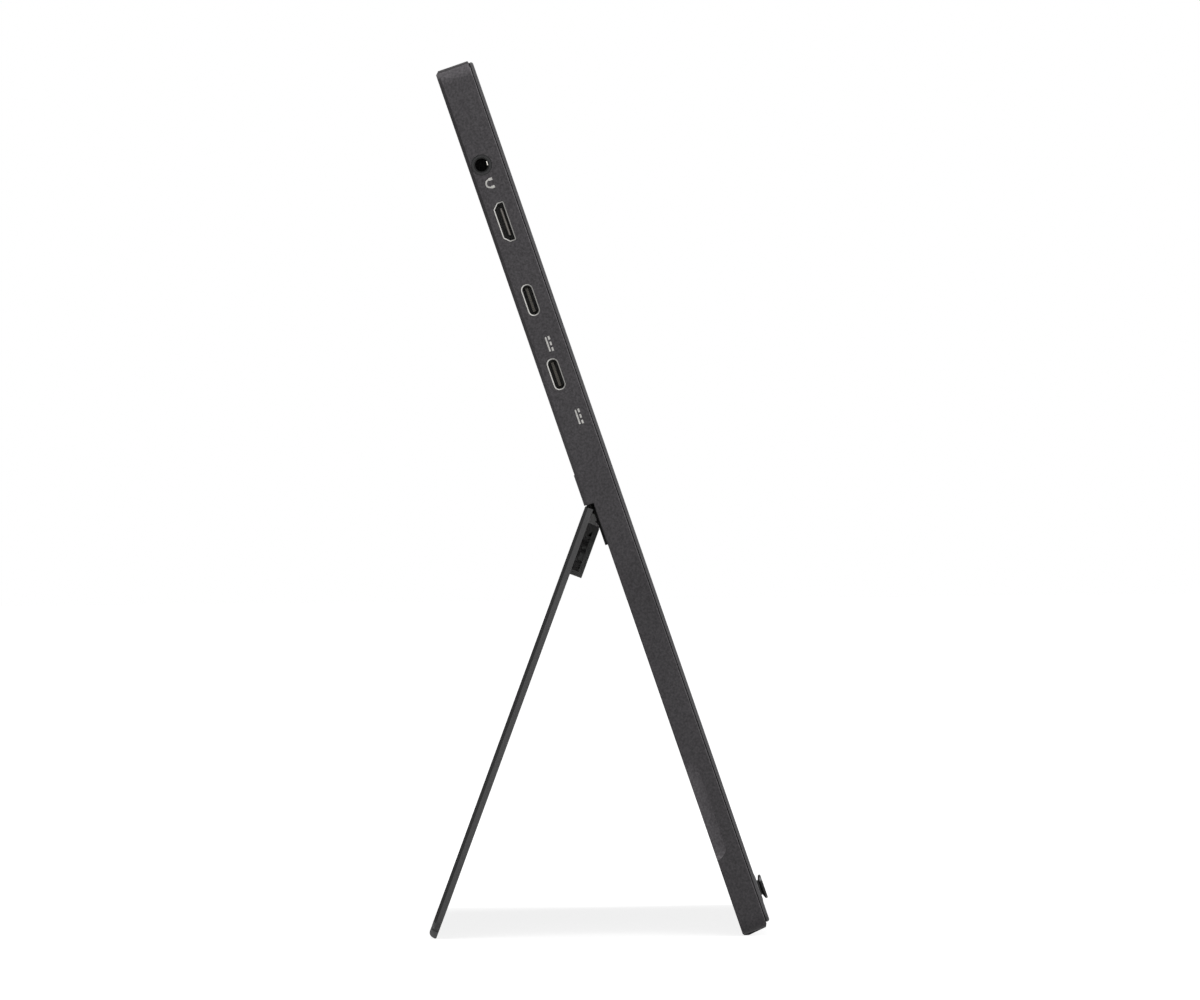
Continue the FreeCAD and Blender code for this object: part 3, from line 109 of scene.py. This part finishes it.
class Paint:
    """A node material with a principled surface, and short ways to add nodes to it."""

    def __init__(self, name):
        self.material = bpy.data.materials.new(name)
        self.material.use_nodes = True
        self.tree = self.material.node_tree
        self.surface = self.tree.nodes["Principled BSDF"]
        source = self.add("ShaderNodeTexCoord")
        self.place = source.outputs["Object"]
        self.normal = source.outputs["Normal"]

    def add(self, kind, **settings):
        node = self.tree.nodes.new(kind)
        for name, value in settings.items():
            setattr(node, name, value)
        return node

    def feed(self, socket, value):
        """Links a socket's value or sets a constant."""
        if isinstance(value, bpy.types.NodeSocket):
            self.tree.links.new(value, socket)
        else:
            socket.default_value = value

    def math(self, operation, first, second=0.0, third=0.0):
        node = self.add("ShaderNodeMath", operation=operation)
        for socket, value in zip(node.inputs, (first, second, third)):
            self.feed(socket, value)
        return node.outputs[0]

    def noise(self, scale, detail=3.0, rough=0.55, place=None):
        node = self.add("ShaderNodeTexNoise")
        self.feed(node.inputs["Vector"], place or self.place)
        node.inputs["Scale"].default_value = scale
        node.inputs["Detail"].default_value = detail
        node.inputs["Roughness"].default_value = rough
        return node.outputs["Fac"]

    def bands(self, scale):
        """Even bands across the width."""
        node = self.add("ShaderNodeTexWave", wave_type="BANDS", bands_direction="X")
        self.feed(node.inputs["Vector"], self.place)
        node.inputs["Scale"].default_value = scale
        return node.outputs["Fac"]

    def spread(self, value, low, high, start=0.3, end=0.7):
        """Runs from low to high while the value runs from start to end."""
        node = self.add("ShaderNodeMapRange")
        self.feed(node.inputs["Value"], value)
        node.inputs["From Min"].default_value = start
        node.inputs["From Max"].default_value = end
        node.inputs["To Min"].default_value = low
        node.inputs["To Max"].default_value = high
        return node.outputs["Result"]

    def rise(self, value, start, end):
        """Rises from 0 to 1 over a stretch in millimetres."""
        return self.spread(value, 0.0, 1.0, start*MM, end*MM)

    def fall(self, value, start, end):
        """Falls from 1 to 0 over a stretch in millimetres."""
        return self.spread(value, 1.0, 0.0, start*MM, end*MM)

    def all_of(self, *shares):
        total = shares[0]
        for share in shares[1:]:
            total = self.math("MULTIPLY", total, share)
        return total

    def any_of(self, *shares):
        total = shares[0]
        for share in shares[1:]:
            total = self.math("MAXIMUM", total, share)
        return total

    def between(self, value, low, high):
        return self.math("COMPARE", value, (low + high)/2, (high - low)/2)

    def within(self, value, low, high):
        """1 where a length is between two limits in millimetres."""
        return self.between(value, low*MM, high*MM)

    def near(self, value, middle, half):
        """1 where a length is at most half away from the middle, in millimetres."""
        return self.math("COMPARE", value, middle*MM, half*MM)

    def above(self, value, limit):
        return self.math("GREATER_THAN", value, limit*MM)

    def below(self, value, limit):
        return self.math("LESS_THAN", value, limit*MM)

    def distance(self, depth, high, mid_depth, mid_high):
        """Distance from an axis that runs along the width of the case."""
        far = self.math("SUBTRACT", depth, mid_depth*MM)
        tall = self.math("SUBTRACT", high, mid_high*MM)
        squares = self.math("ADD", self.math("MULTIPLY", far, far), self.math("MULTIPLY", tall, tall))
        return self.math("SQRT", squares)

    def split(self, vector):
        node = self.add("ShaderNodeSeparateXYZ")
        self.feed(node.inputs[0], vector)
        return node.outputs["X"], node.outputs["Y"], node.outputs["Z"]

    def turned_place(self, origin, turn):
        """The place along the axes of a frame that is moved to origin and turned about x."""
        mapping = self.add("ShaderNodeMapping", vector_type="TEXTURE")
        self.feed(mapping.inputs["Vector"], self.place)
        mapping.inputs["Location"].default_value = origin
        mapping.inputs["Rotation"].default_value = (turn, 0.0, 0.0)
        return self.split(mapping.outputs["Vector"])

    def case_place(self):
        return self.turned_place(CASE_ORIGIN, -TILT)

    def leaf_place(self):
        return self.turned_place(HINGE, LEAN)

    def side_bevel(self, turn, facing=1):
        """1 on faces cut at 45 degrees between a side and the back, or the front for a facing of -1."""
        x, back, high = self.split(self.normal)
        outward = self.math("ADD", self.math("MULTIPLY", back, math.cos(turn)),
                            self.math("MULTIPLY", high, math.sin(turn)))
        beside = self.math("ABSOLUTE", x)
        outward = self.math("MULTIPLY", outward, facing)
        return self.all_of(self.between(beside, *SLANTED), self.between(outward, *SLANTED))

    def mix(self, share, first, second, blend="MIX"):
        node = self.add("ShaderNodeMix", data_type="RGBA", blend_type=blend)
        self.feed(node.inputs["Factor"], share)
        self.feed(node.inputs["A"], first)
        self.feed(node.inputs["B"], second)
        return node.outputs["Result"]

    def toned(self, body, tones):
        """The colour with each tone's factor multiplied in at its place."""
        for place, factor in tones:
            body = self.mix(place(self), body, (factor, factor, factor, 1.0), "MULTIPLY")
        return body

    def edges(self, radius, reach=0.25):
        """About 1 on sharp edges and 0 on flat faces; the radius is in millimetres."""
        bevel = self.add("ShaderNodeBevel", samples=6)
        bevel.inputs["Radius"].default_value = radius*MM
        plain = self.add("ShaderNodeNewGeometry").outputs["Normal"]
        dot = self.add("ShaderNodeVectorMath", operation="DOT_PRODUCT")
        self.feed(dot.inputs[0], bevel.outputs["Normal"])
        self.feed(dot.inputs[1], plain)
        return self.spread(dot.outputs["Value"], 1.0, 0.0, 1.0 - reach, 1.0)

    def grain(self, height, depth, strength):
        """Bumps of a depth in millimetres."""
        bump = self.add("ShaderNodeBump")
        bump.inputs["Strength"].default_value = strength
        bump.inputs["Distance"].default_value = depth*MM
        self.feed(bump.inputs["Height"], height)
        self.feed(self.surface.inputs["Normal"], bump.outputs["Normal"])

    def finish(self, colour, rough, metallic=0.0, specular=0.5):
        self.feed(self.surface.inputs["Base Color"], colour)
        self.feed(self.surface.inputs["Roughness"], rough)
        self.surface.inputs["Metallic"].default_value = metallic
        self.surface.inputs["Specular IOR Level"].default_value = specular
        return self.material


def shade(colour, factor):
    return tuple(min(1.0, part*factor) for part in colour[:3]) + (1.0,)


def sandy(name, colour, rough=0.62, grain=2600.0, depth=0.06, contrast=0.22, worn=0.25,
          tones=(), marks=None):
    """Fine sandy matt surface with a slow drift of tone and paler edges, partly wear and partly a painted
    highlight; a tone is a place and a factor.
    """
    paint = Paint(name)
    fine = paint.noise(grain, detail=2.0, rough=0.6)
    slow = paint.noise(38.0, detail=4.0, rough=0.5)
    dark, pale = shade(colour, 1.0 - contrast), shade(colour, 1.0 + contrast)
    body = paint.mix(paint.spread(fine, 0.0, 1.0), dark, pale)
    body = paint.mix(paint.spread(slow, 0.0, 0.14), body, shade(colour, 0.86))
    worn_edge_highlight = paint.math("MULTIPLY", paint.edges(0.25), worn)
    body = paint.mix(worn_edge_highlight, body, shade(colour, 2.0))
    body = paint.toned(body, tones)
    if marks:
        body = paint.mix(marks(paint), body, PRINT)
    paint.grain(fine, depth, strength=0.55)
    return paint.finish(body, paint.spread(slow, rough - 0.07, rough + 0.07), specular=0.2)


def rubber(name, colour, rough=0.8):
    """Dull rubber with a little pale dust."""
    paint = Paint(name)
    fine = paint.noise(1500.0, detail=4.0, rough=0.65)
    dust = paint.noise(120.0, detail=5.0, rough=0.6)
    body = paint.mix(paint.spread(fine, 0.0, 0.5), colour, shade(colour, 0.6))
    body = paint.mix(paint.spread(dust, 0.0, 0.25, 0.5, 0.75), body, shade(colour, 2.4))
    paint.grain(fine, 0.05, strength=0.5)
    return paint.finish(body, paint.spread(dust, rough - 0.08, rough + 0.06), specular=0.2)


def metal(name, colour, rough=0.3, stretch=(1.0, 1.0, 1.0), worn=0.3, tones=()):
    """Plated or cast metal with fine lines or grain and brighter edges, partly wear and partly a painted
    highlight.
    """
    paint = Paint(name)
    mapping = paint.add("ShaderNodeMapping")
    paint.feed(mapping.inputs["Vector"], paint.place)
    mapping.inputs["Scale"].default_value = stretch
    lines = paint.noise(3000.0, detail=3.0, rough=0.6, place=mapping.outputs["Vector"])
    smudge = paint.noise(220.0, detail=4.0, rough=0.6)
    body = paint.mix(paint.spread(lines, 0.0, 1.0), shade(colour, 0.82), shade(colour, 1.1))
    worn_edge_highlight = paint.math("MULTIPLY", paint.edges(0.1), worn)
    body = paint.mix(worn_edge_highlight, body, shade(colour, 1.4))
    body = paint.toned(body, tones)
    paint.grain(lines, 0.02, strength=0.35)
    return paint.finish(body, paint.spread(smudge, rough - 0.1, rough + 0.12), metallic=1.0)


def upper_bevel_shade(paint):
    """Painted shade on the smooth bevel along both sides of the case's upper back, which faces away from
    the light.
    """
    _, _, high = paint.case_place()
    return paint.all_of(paint.side_bevel(-TILT), paint.rise(high, *UPPER_BEVEL_HIGH))


def lower_case_shade(paint):
    """Painted shade: a slow darkening of the case towards its foot, where the light from above falls off.
    """
    _, _, high = paint.case_place()
    return paint.fall(high, *LOWER_CASE_HIGH)


def below_step(paint):
    """The darker stretch of the case below the step, in the shade of the leaf."""
    _, _, high = paint.case_place()
    return paint.all_of(paint.rise(high, *SHADE_STARTS), paint.fall(high, *SHADE_ENDS))


def top_painted_highlight(paint):
    """Painted highlight just under the case's top edge, where the rounded corner turns up to the light."""
    _, _, high = paint.case_place()
    return paint.rise(high, *SHEEN_HIGH)


def top_line(paint):
    """The dark line along the case's top edge."""
    _, _, high = paint.case_place()
    return paint.above(high, TOP_LINE_LOW)


def scoop(paint):
    """The finger scoop in the left side of the case's lower back edge, where painted light makes the case
    paler.
    """
    x, depth, high = paint.case_place()
    return paint.all_of(paint.within(x, *SCOOP_X), paint.within(depth, *SCOOP_DEPTH),
                        paint.within(high, *SCOOP_HIGH))


def scoop_end_highlight(paint):
    """Painted highlight on the lower end of the finger scoop, which faces up to the light."""
    _, _, high = paint.case_place()
    return paint.all_of(scoop(paint), paint.fall(high, *SCOOP_END_HIGH))


def front_rim_highlight(paint):
    """Painted highlight on the narrow bevel along the groove behind the bezel."""
    return paint.side_bevel(-TILT, -1)


def leaf_bevel_shade(paint):
    """Painted shade on the bevel along both sides of the leaf's outer face, which faces away from the
    light.
    """
    return paint.side_bevel(LEAN)


def inside_shell_shade(paint):
    """Painted shade on the inside of a socket's shell, behind its bright rim."""
    x, _, _ = paint.case_place()
    return paint.above(x, SHELL_RIM_X)


def shell_front_shade(paint):
    """Painted shade on the half of a socket's rim towards the screen, standing in for the weaker reflection
    there.
    """
    _, depth, _ = paint.case_place()
    return paint.fall(depth, *SHELL_FRONT_DEPTH)


def inside_jack(paint):
    """The bore of the headphone jack and its chamfer."""
    _, depth, high = paint.case_place()
    return paint.below(paint.distance(depth, high, JACK_DEPTH, JACK_HIGH), JACK_RIM)


def cover_hollow_shade(paint):
    """Painted shade in the hollow of a hinge cover, behind the ends of its ribs."""
    x, depth, high = paint.leaf_place()
    beside = paint.math("ABSOLUTE", x)
    return paint.all_of(paint.below(beside, COVER_MOUTH), paint.above(depth, COVER_BACK),
                        paint.within(high, *COVER_HIGH))


def arm_ends(paint):
    """The ends of the hinge arm, which stay in the shade of the step and of the cover."""
    _, _, high = paint.leaf_place()
    return paint.math("SUBTRACT", 1.0, paint.within(high, *GUSSET_HIGH))


def cap_painted_glint(paint):
    """Painted glint near the upper left end of the joystick's cap."""
    x, _, high = paint.case_place()
    return paint.all_of(paint.rise(high, *GLINT_STARTS), paint.fall(high, *GLINT_ENDS),
                        paint.fall(x, *GLINT_X))


def bar(paint, depth, high, mid_depth, down, half_sizes):
    """1 inside a small rectangle on the side face; down is measured from the top edge."""
    half_depth, half_high = half_sizes
    return paint.all_of(paint.near(depth, mid_depth, half_depth),
                        paint.near(high, CASE_HIGH - down, half_high))


def current_sign(paint, depth, high, mid_depth, down):
    """The sign for direct current: a line beside three dashes."""
    line = bar(paint, depth, high, mid_depth, down, CURRENT_LINE)
    dashes = [bar(paint, depth, high, mid_depth - DASH_SHIFT, down + step, CURRENT_DASH)
              for step in DASH_STEPS]
    return paint.any_of(line, *dashes)


def headset_sign(paint, depth, high):
    """A half ring towards the back with an ear pad at each end."""
    reach = paint.distance(depth, high, HEADSET_DEPTH, CASE_HIGH - HEADSET_DOWN)
    ring = paint.all_of(paint.near(reach, HEADSET_RADIUS, HEADSET_LINE), paint.above(depth, HEADSET_DEPTH))
    pads = [bar(paint, depth, high, HEADSET_DEPTH - EAR_SHIFT, HEADSET_DOWN + step, EAR_PAD)
            for step in (-HEADSET_RADIUS, HEADSET_RADIUS)]
    return paint.any_of(ring, *pads)


def side_marks(paint):
    """Printed signs beside the sockets: a headset, and the sign for direct current by each USB-C socket."""
    x, depth, high = paint.case_place()
    signs = [current_sign(paint, depth, high, mid_depth, down) for mid_depth, down in CURRENT_SIGNS]
    signs.append(headset_sign(paint, depth, high))
    on_side = paint.near(x, LEFT_FACE, ON_FACE)
    worn = paint.spread(paint.noise(2400.0), 0.75, 1.0)
    return paint.all_of(paint.any_of(*signs), on_side, worn)


def screen_glass(name):
    """Dark anti-glare glass: a black border, and a slightly paler active area with a faint pixel grid."""
    paint = Paint(name)
    border = (0.003, 0.003, 0.0033, 1)
    dark_pixel, pale_pixel = (0.008, 0.0083, 0.0092, 1), (0.013, 0.0134, 0.0145, 1)
    x, _, high = paint.case_place()
    inside = paint.all_of(paint.near(x, 0.0, SCREEN_HALF_WIDE),
                          paint.near(high, SCREEN_MIDDLE, SCREEN_HALF_HIGH))
    grid = paint.spread(paint.bands(1400.0), 0.0, 0.3)
    body = paint.mix(inside, border, paint.mix(grid, dark_pixel, pale_pixel))
    haze = paint.noise(3500.0, detail=2.0, rough=0.5)
    smear = paint.noise(24.0, detail=4.0)
    paint.grain(haze, 0.01, strength=0.25)
    return paint.finish(body, paint.spread(smear, 0.24, 0.32), specular=0.25)


def contact_rows(name):
    """Black insulator of a socket: a row of gilded contacts on the tongue, which has a paler end."""
    paint = Paint(name)
    black, gold, pale = (0.026, 0.025, 0.024, 1), (0.2, 0.16, 0.09, 1), (0.2, 0.185, 0.17, 1)
    x, depth, high = paint.case_place()
    wave = paint.math("SINE", paint.math("MULTIPLY", high, 2*math.pi/(CONTACT_PITCH*MM)))
    row = paint.all_of(paint.below(x, TONGUE_X), paint.math("GREATER_THAN", wave, 0.25))
    end = paint.all_of(paint.below(x, TONGUE_END_X), paint.within(depth, *TONGUE_END_DEPTH),
                       paint.above(high, HDMI_LOW))
    speck = paint.noise(2500.0)
    body = paint.mix(paint.math("MULTIPLY", row, 0.25), black, gold)
    body = paint.mix(end, body, pale)
    paint.grain(speck, 0.02, strength=0.3)
    return paint.finish(body, paint.spread(speck, 0.4, 0.55))


def board(name):
    """Green circuit board with a pattern of tracks."""
    paint = Paint(name)
    tracks = paint.add("ShaderNodeTexBrick")
    paint.feed(tracks.inputs["Vector"], paint.place)
    tracks.inputs["Scale"].default_value = 160.0
    tracks.inputs["Color1"].default_value = (0.012, 0.05, 0.03, 1)
    tracks.inputs["Color2"].default_value = (0.016, 0.065, 0.038, 1)
    tracks.inputs["Mortar"].default_value = (0.03, 0.12, 0.06, 1)
    weave = paint.noise(1800.0)
    paint.grain(weave, 0.02, strength=0.3)
    return paint.finish(tracks.outputs["Color"], paint.spread(weave, 0.35, 0.5))


def film(name, colour):
    """Thin striped film, as on a flat cable."""
    paint = Paint(name)
    stripes = paint.bands(320.0)
    body = paint.mix(paint.spread(stripes, 0.0, 0.6), colour, shade(colour, 0.6))
    cloud = paint.noise(90.0)
    paint.grain(stripes, 0.03, strength=0.3)
    return paint.finish(body, paint.spread(cloud, 0.3, 0.45))


def light_plate(name, colour):
    """Pale plate with the fine dots that spread the panel's light."""
    paint = Paint(name)
    dots = paint.noise(900.0, detail=2.0, rough=0.4)
    body = paint.mix(paint.spread(dots, 0.0, 0.2), colour, shade(colour, 0.85))
    paint.grain(dots, 0.02, strength=0.2)
    return paint.finish(body, paint.spread(dots, 0.12, 0.22))


CHARCOAL = (0.0715, 0.0675, 0.0715, 1.0)
# the housing's tones are mostly painted light and shade: painted shade towards the foot, below the step and
# on the upper back bevels; painted highlights on the front rim, the finger scoop and its lower end, and
# under the top edge; and a dark line along the top edge
HOUSING_TONES = [(lower_case_shade, 0.79), (below_step, 0.89), (upper_bevel_shade, 0.5), (front_rim_highlight, 2.0),
                 (scoop, 1.75), (scoop_end_highlight, 1.8), (top_painted_highlight, 2.0), (top_line, 0.4)]
PAINTS = {
    "housing": sandy("housing", CHARCOAL, grain=1700.0, contrast=0.36,
                     tones=HOUSING_TONES, marks=side_marks),
    "bezel": sandy("bezel", (0.115, 0.112, 0.116, 1), rough=0.55, grain=2400.0, depth=0.03,
                   contrast=0.15, worn=0.2),
    "tape": sandy("tape", (0.006, 0.006, 0.006, 1), rough=0.8, grain=1800.0, depth=0.08,
                  contrast=0.3, worn=0.0),
    "screen": screen_glass("screen"),
    "light_guide": light_plate("light_guide", (0.82, 0.84, 0.86, 1)),
    "led_strip": film("led_strip", (0.8, 0.78, 0.62, 1)),
    "tray": metal("tray", (0.6, 0.6, 0.61, 1), rough=0.35, stretch=(1.0, 0.1, 1.0)),
    "board": board("board"),
    "can": metal("can", (0.6, 0.6, 0.58, 1), rough=0.35),
    "socket_steel": metal("socket_steel", (0.56, 0.55, 0.53, 1), stretch=(0.1, 1.0, 1.0), worn=0.4,
                          tones=[(inside_shell_shade, 0.08), (shell_front_shade, 0.45)]),
    "socket_plastic": contact_rows("socket_plastic"),
    "jack_plastic": sandy("jack_plastic", (0.04, 0.04, 0.041, 1), rough=0.5, grain=2200.0, depth=0.02,
                          contrast=0.2, worn=0.3, tones=[(inside_jack, 0.25)]),
    "contact_brass": metal("contact_brass", (0.86, 0.83, 0.76, 1), rough=0.4),
    "cable": film("cable", (0.62, 0.38, 0.1, 1)),
    "switch_plastic": sandy("switch_plastic", (0.03, 0.03, 0.03, 1), rough=0.5, grain=2400.0, depth=0.03),
    "switch_steel": metal("switch_steel", (0.66, 0.66, 0.66, 1), rough=0.25),
    "screw_steel": metal("screw_steel", (0.16, 0.16, 0.165, 1), rough=0.35, stretch=(1.0, 0.2, 1.0)),
    "guide": sandy("guide", (0.015, 0.015, 0.0155, 1), rough=0.5, grain=2400.0, depth=0.03,
                   contrast=0.2, worn=0.4),
    "pad": rubber("pad", (0.02, 0.02, 0.02, 1)),
    "foot_rubber": rubber("foot_rubber", (0.055, 0.053, 0.055, 1)),
    "leaf_skin": sandy("leaf_skin", (0.083, 0.0822, 0.083, 1), rough=0.55, grain=2900.0, depth=0.05,
                       contrast=0.18, worn=0.2, tones=[(leaf_bevel_shade, 0.22)]),
    "leaf_inner": sandy("leaf_inner", (0.05, 0.05, 0.0515, 1), rough=0.6, depth=0.05,
                        contrast=0.18, worn=0.2),
    "leaf_rubber": rubber("leaf_rubber", (0.145, 0.145, 0.146, 1)),
    # the arm's pale grey is raised above the cast metal's own as painted light, so that the gusset shows
    # pale in the shade of the hinge; its ends are painted shade
    "arm": sandy("arm", (0.8, 0.785, 0.78, 1), rough=0.5, grain=1800.0, depth=0.05,
                 contrast=0.1, worn=0.1, tones=[(arm_ends, 0.2)]),
    # the cover's grey is raised above its plastic's own as painted light, since little light reaches it
    # inside the hinge; its hollow is painted shade
    "cover": sandy("cover", (0.16, 0.163, 0.16, 1), rough=0.5, grain=2200.0, depth=0.04,
                   contrast=0.12, worn=0.15, tones=[(cover_hollow_shade, 0.6)]),
    "cover_wall": sandy("cover_wall", (0.13, 0.127, 0.127, 1), rough=0.6, grain=2200.0, depth=0.04,
                        contrast=0.12, worn=0.1),
    "stick_cap": sandy("stick_cap", (0.045, 0.045, 0.046, 1), rough=0.35, depth=0.04,
                       contrast=0.25, worn=0.5, tones=[(cap_painted_glint, 10.0)]),
}
for entry in frame["record"]["subparts"]:
    piece = nodes[entry["node"]]
    piece.data.materials.clear()
    piece.data.materials.append(PAINTS[entry["material_slot"]])


def at_case(x, depth, high):
    """A point of the case's own frame, in millimetres, as a place in the scene."""
    return CASE_ORIGIN + Matrix.Rotation(-TILT, 3, "X") @ (Vector((x, depth, high))*MM)


def at_leaf(x, high, depth):
    """A point of the leaf's own frame, in millimetres, as a place in the scene."""
    return HINGE + Matrix.Rotation(LEAN, 3, "X") @ (Vector((x, depth, high))*MM)


def bent_strip(name, path, half_wide, thick, middle, place):
    """Sheet strip that follows a path of two coordinates, with its width about the middle of the third."""
    points = []
    for i, (first, second) in enumerate(path):
        before, after = Vector(path[max(i - 1, 0)]), Vector(path[min(i + 1, len(path) - 1)])
        run = (after - before).normalized()
        for shift in (-thick/2, thick/2):
            for side in (-half_wide, half_wide):
                points.append(place(first - run.y*shift, second + run.x*shift, middle + side))
    faces = [(0, 1, 3, 2), tuple(len(points) - 4 + k for k in (0, 2, 3, 1))]
    for i in range(len(path) - 1):
        first, second = 4*i, 4*i + 4
        for one, two in ((0, 1), (1, 3), (3, 2), (2, 0)):
            faces.append((first + two, first + one, second + one, second + two))
    mesh = bpy.data.meshes.new(name)
    mesh.from_pydata(points, [], faces)
    mesh.update()
    thing = bpy.data.objects.new(name, mesh)
    bpy.context.scene.collection.objects.link(thing)
    return thing


# end of the jack's contact spring that shows in the mouth of the bore;
# each bend is a distance behind the mouth and a distance off the bore's axis
SPRING_BENDS = ((2.75, 1.95), (2.2, 1.7), (1.5, 1.5), (0.9, 1.44), (0.6, 1.5), (0.5, 1.72))
spring_path = [(SOCKET_MOUTH + inward, JACK_DEPTH - off_axis) for inward, off_axis in SPRING_BENDS]
spring = bent_strip("jack_spring_tip", spring_path, half_wide=0.55, thick=0.1,
                    middle=JACK_HIGH, place=at_case)
spring.data.materials.append(PAINTS["contact_brass"])
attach(spring, "monitor")

# corrugated inner wall that shows behind the ribs in the open end of each hinge cover
WALL_X = 140.2
WALL_TOP = -7.2
WALL_PITCH = 0.95
WALL_FOLDS = 12
WALL_WAVE = 0.35
WALL_DEPTH = -3.5
for side_name, side in (("left", -1), ("right", 1)):
    folds = [(side*(WALL_X + WALL_WAVE*(i % 2)), WALL_TOP - WALL_PITCH*i) for i in range(WALL_FOLDS)]
    wall = bent_strip("cover_wall_" + side_name, folds, half_wide=1.02, thick=0.3,
                      middle=WALL_DEPTH, place=at_leaf)
    wall.data.materials.append(PAINTS["cover_wall"])
    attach(wall, "stand")


def seen_ray(tree):
    """1 for a ray of the camera and for one that a reflection or a clear piece sends on."""
    path = tree.nodes.new("ShaderNodeLightPath")
    total = path.outputs["Is Camera Ray"]
    for name in ("Is Glossy Ray", "Is Transmission Ray"):
        larger = tree.nodes.new("ShaderNodeMath")
        larger.operation = "MAXIMUM"
        tree.links.new(total, larger.inputs[0])
        tree.links.new(path.outputs[name], larger.inputs[1])
        total = larger.outputs[0]
    return total


def background(tree, strength):
    node = tree.nodes.new("ShaderNodeBackground")
    node.inputs["Color"].default_value = (1, 1, 1, 1)
    node.inputs["Strength"].default_value = strength
    return node.outputs[0]


ROOM_LIGHT = 0.25
scene = bpy.context.scene


def make_room():
    """World that is white to the camera and to reflections, and a soft light to everything else."""
    world = bpy.data.worlds.new("room")
    world.use_nodes = True
    scene.world = world
    tree = world.node_tree
    tree.nodes.clear()
    mix = tree.nodes.new("ShaderNodeMixShader")
    tree.links.new(seen_ray(tree), mix.inputs["Fac"])
    tree.links.new(background(tree, ROOM_LIGHT), mix.inputs[1])
    tree.links.new(background(tree, 1.0), mix.inputs[2])
    out = tree.nodes.new("ShaderNodeOutputWorld")
    tree.links.new(mix.outputs[0], out.inputs["Surface"])


make_room()

# each lamp's place and size in metres, and its power in watts
AIM = Vector((0.0, 0.0, 0.12))
LAMPS = {
    "key": ((-0.8, 0.05, 1.15), 0.6, 3.8),
    "side": ((-1.3, 0.0, 0.2), 0.8, 5.2),
    "fill": ((0.9, -1.4, 0.9), 1.2, 14.0),
    "rear": ((0.9, 1.5, 1.0), 1.2, 8.0),
}


def lamp(name, place, size, power):
    """Soft round lamp that lights the object without showing in the picture or in its metal."""
    data = bpy.data.lights.new(name, "AREA")
    data.shape = "DISK"
    data.size = size
    data.energy = power
    thing = bpy.data.objects.new(name, data)
    scene.collection.objects.link(thing)
    thing.location = place
    thing.rotation_euler = (AIM - Vector(place)).to_track_quat("-Z", "Y").to_euler()
    thing.visible_camera = False
    thing.visible_glossy = False


for lamp_name, (lamp_place, lamp_size, lamp_power) in LAMPS.items():
    lamp(lamp_name, lamp_place, lamp_size, lamp_power)

FLOOR_WIDE = 30.0
FLOOR_DROP = 0.2*MM
# the floor's own glow, and the distances from the object over which it runs out to the backdrop's white
FLOOR_GLOW = 0.86
FLOOR_FADE = (0.35, 1.0)


def floor_paint():
    """Pale floor that keeps the shadow and runs out into the white of the backdrop."""
    material = bpy.data.materials.new("floor")
    material.use_nodes = True
    tree = material.node_tree
    surface = tree.nodes["Principled BSDF"]
    surface.inputs["Base Color"].default_value = (0.4, 0.4, 0.4, 1)
    surface.inputs["Roughness"].default_value = 1.0
    surface.inputs["Specular IOR Level"].default_value = 0.0
    spot = tree.nodes.new("ShaderNodeTexCoord")
    reach = tree.nodes.new("ShaderNodeVectorMath")
    reach.operation = "LENGTH"
    tree.links.new(spot.outputs["Object"], reach.inputs[0])
    fade = tree.nodes.new("ShaderNodeMapRange")
    fade.inputs["From Min"].default_value = FLOOR_FADE[0]
    fade.inputs["From Max"].default_value = FLOOR_FADE[1]
    fade.inputs["To Min"].default_value = FLOOR_GLOW
    fade.inputs["To Max"].default_value = 1.0
    tree.links.new(reach.outputs["Value"], fade.inputs["Value"])
    glow = tree.nodes.new("ShaderNodeEmission")
    tree.links.new(fade.outputs["Result"], glow.inputs["Color"])
    tree.links.new(seen_ray(tree), glow.inputs["Strength"])
    both = tree.nodes.new("ShaderNodeAddShader")
    tree.links.new(surface.outputs[0], both.inputs[0])
    tree.links.new(glow.outputs[0], both.inputs[1])
    tree.links.new(both.outputs[0], tree.nodes["Material Output"].inputs["Surface"])
    return material


bpy.ops.mesh.primitive_plane_add(size=FLOOR_WIDE, location=(0, 0, -FLOOR_DROP))
floor = bpy.context.object
floor.name = "floor"
floor.data.materials.append(floor_paint())

# long lens at the user's left side, as in the photograph, whose scale is in millimetres per pixel
LENS = 500.0
SENSOR = 36.0
PHOTO_WIDE = 1200
PHOTO_SCALE = 0.272
VIEW_WIDE = PHOTO_WIDE*PHOTO_SCALE*MM
VIEW_MIDDLE = (-1.35*MM, 118.9*MM)
CAMERA_ROLL = math.radians(-0.6)
camera_data = bpy.data.cameras.new("camera")
camera_data.lens = LENS
camera_data.sensor_width = SENSOR
camera_data.clip_end = 100.0
camera = bpy.data.objects.new("camera", camera_data)
scene.collection.objects.link(camera)
level = Euler((math.radians(90), 0, math.radians(-90))).to_matrix()
camera.rotation_euler = (level @ Matrix.Rotation(CAMERA_ROLL, 3, "Z")).to_euler()
camera.location = (LEFT_FACE*MM - LENS/SENSOR*VIEW_WIDE, *VIEW_MIDDLE)
scene.camera = camera
scene.view_settings.view_transform = "Standard"
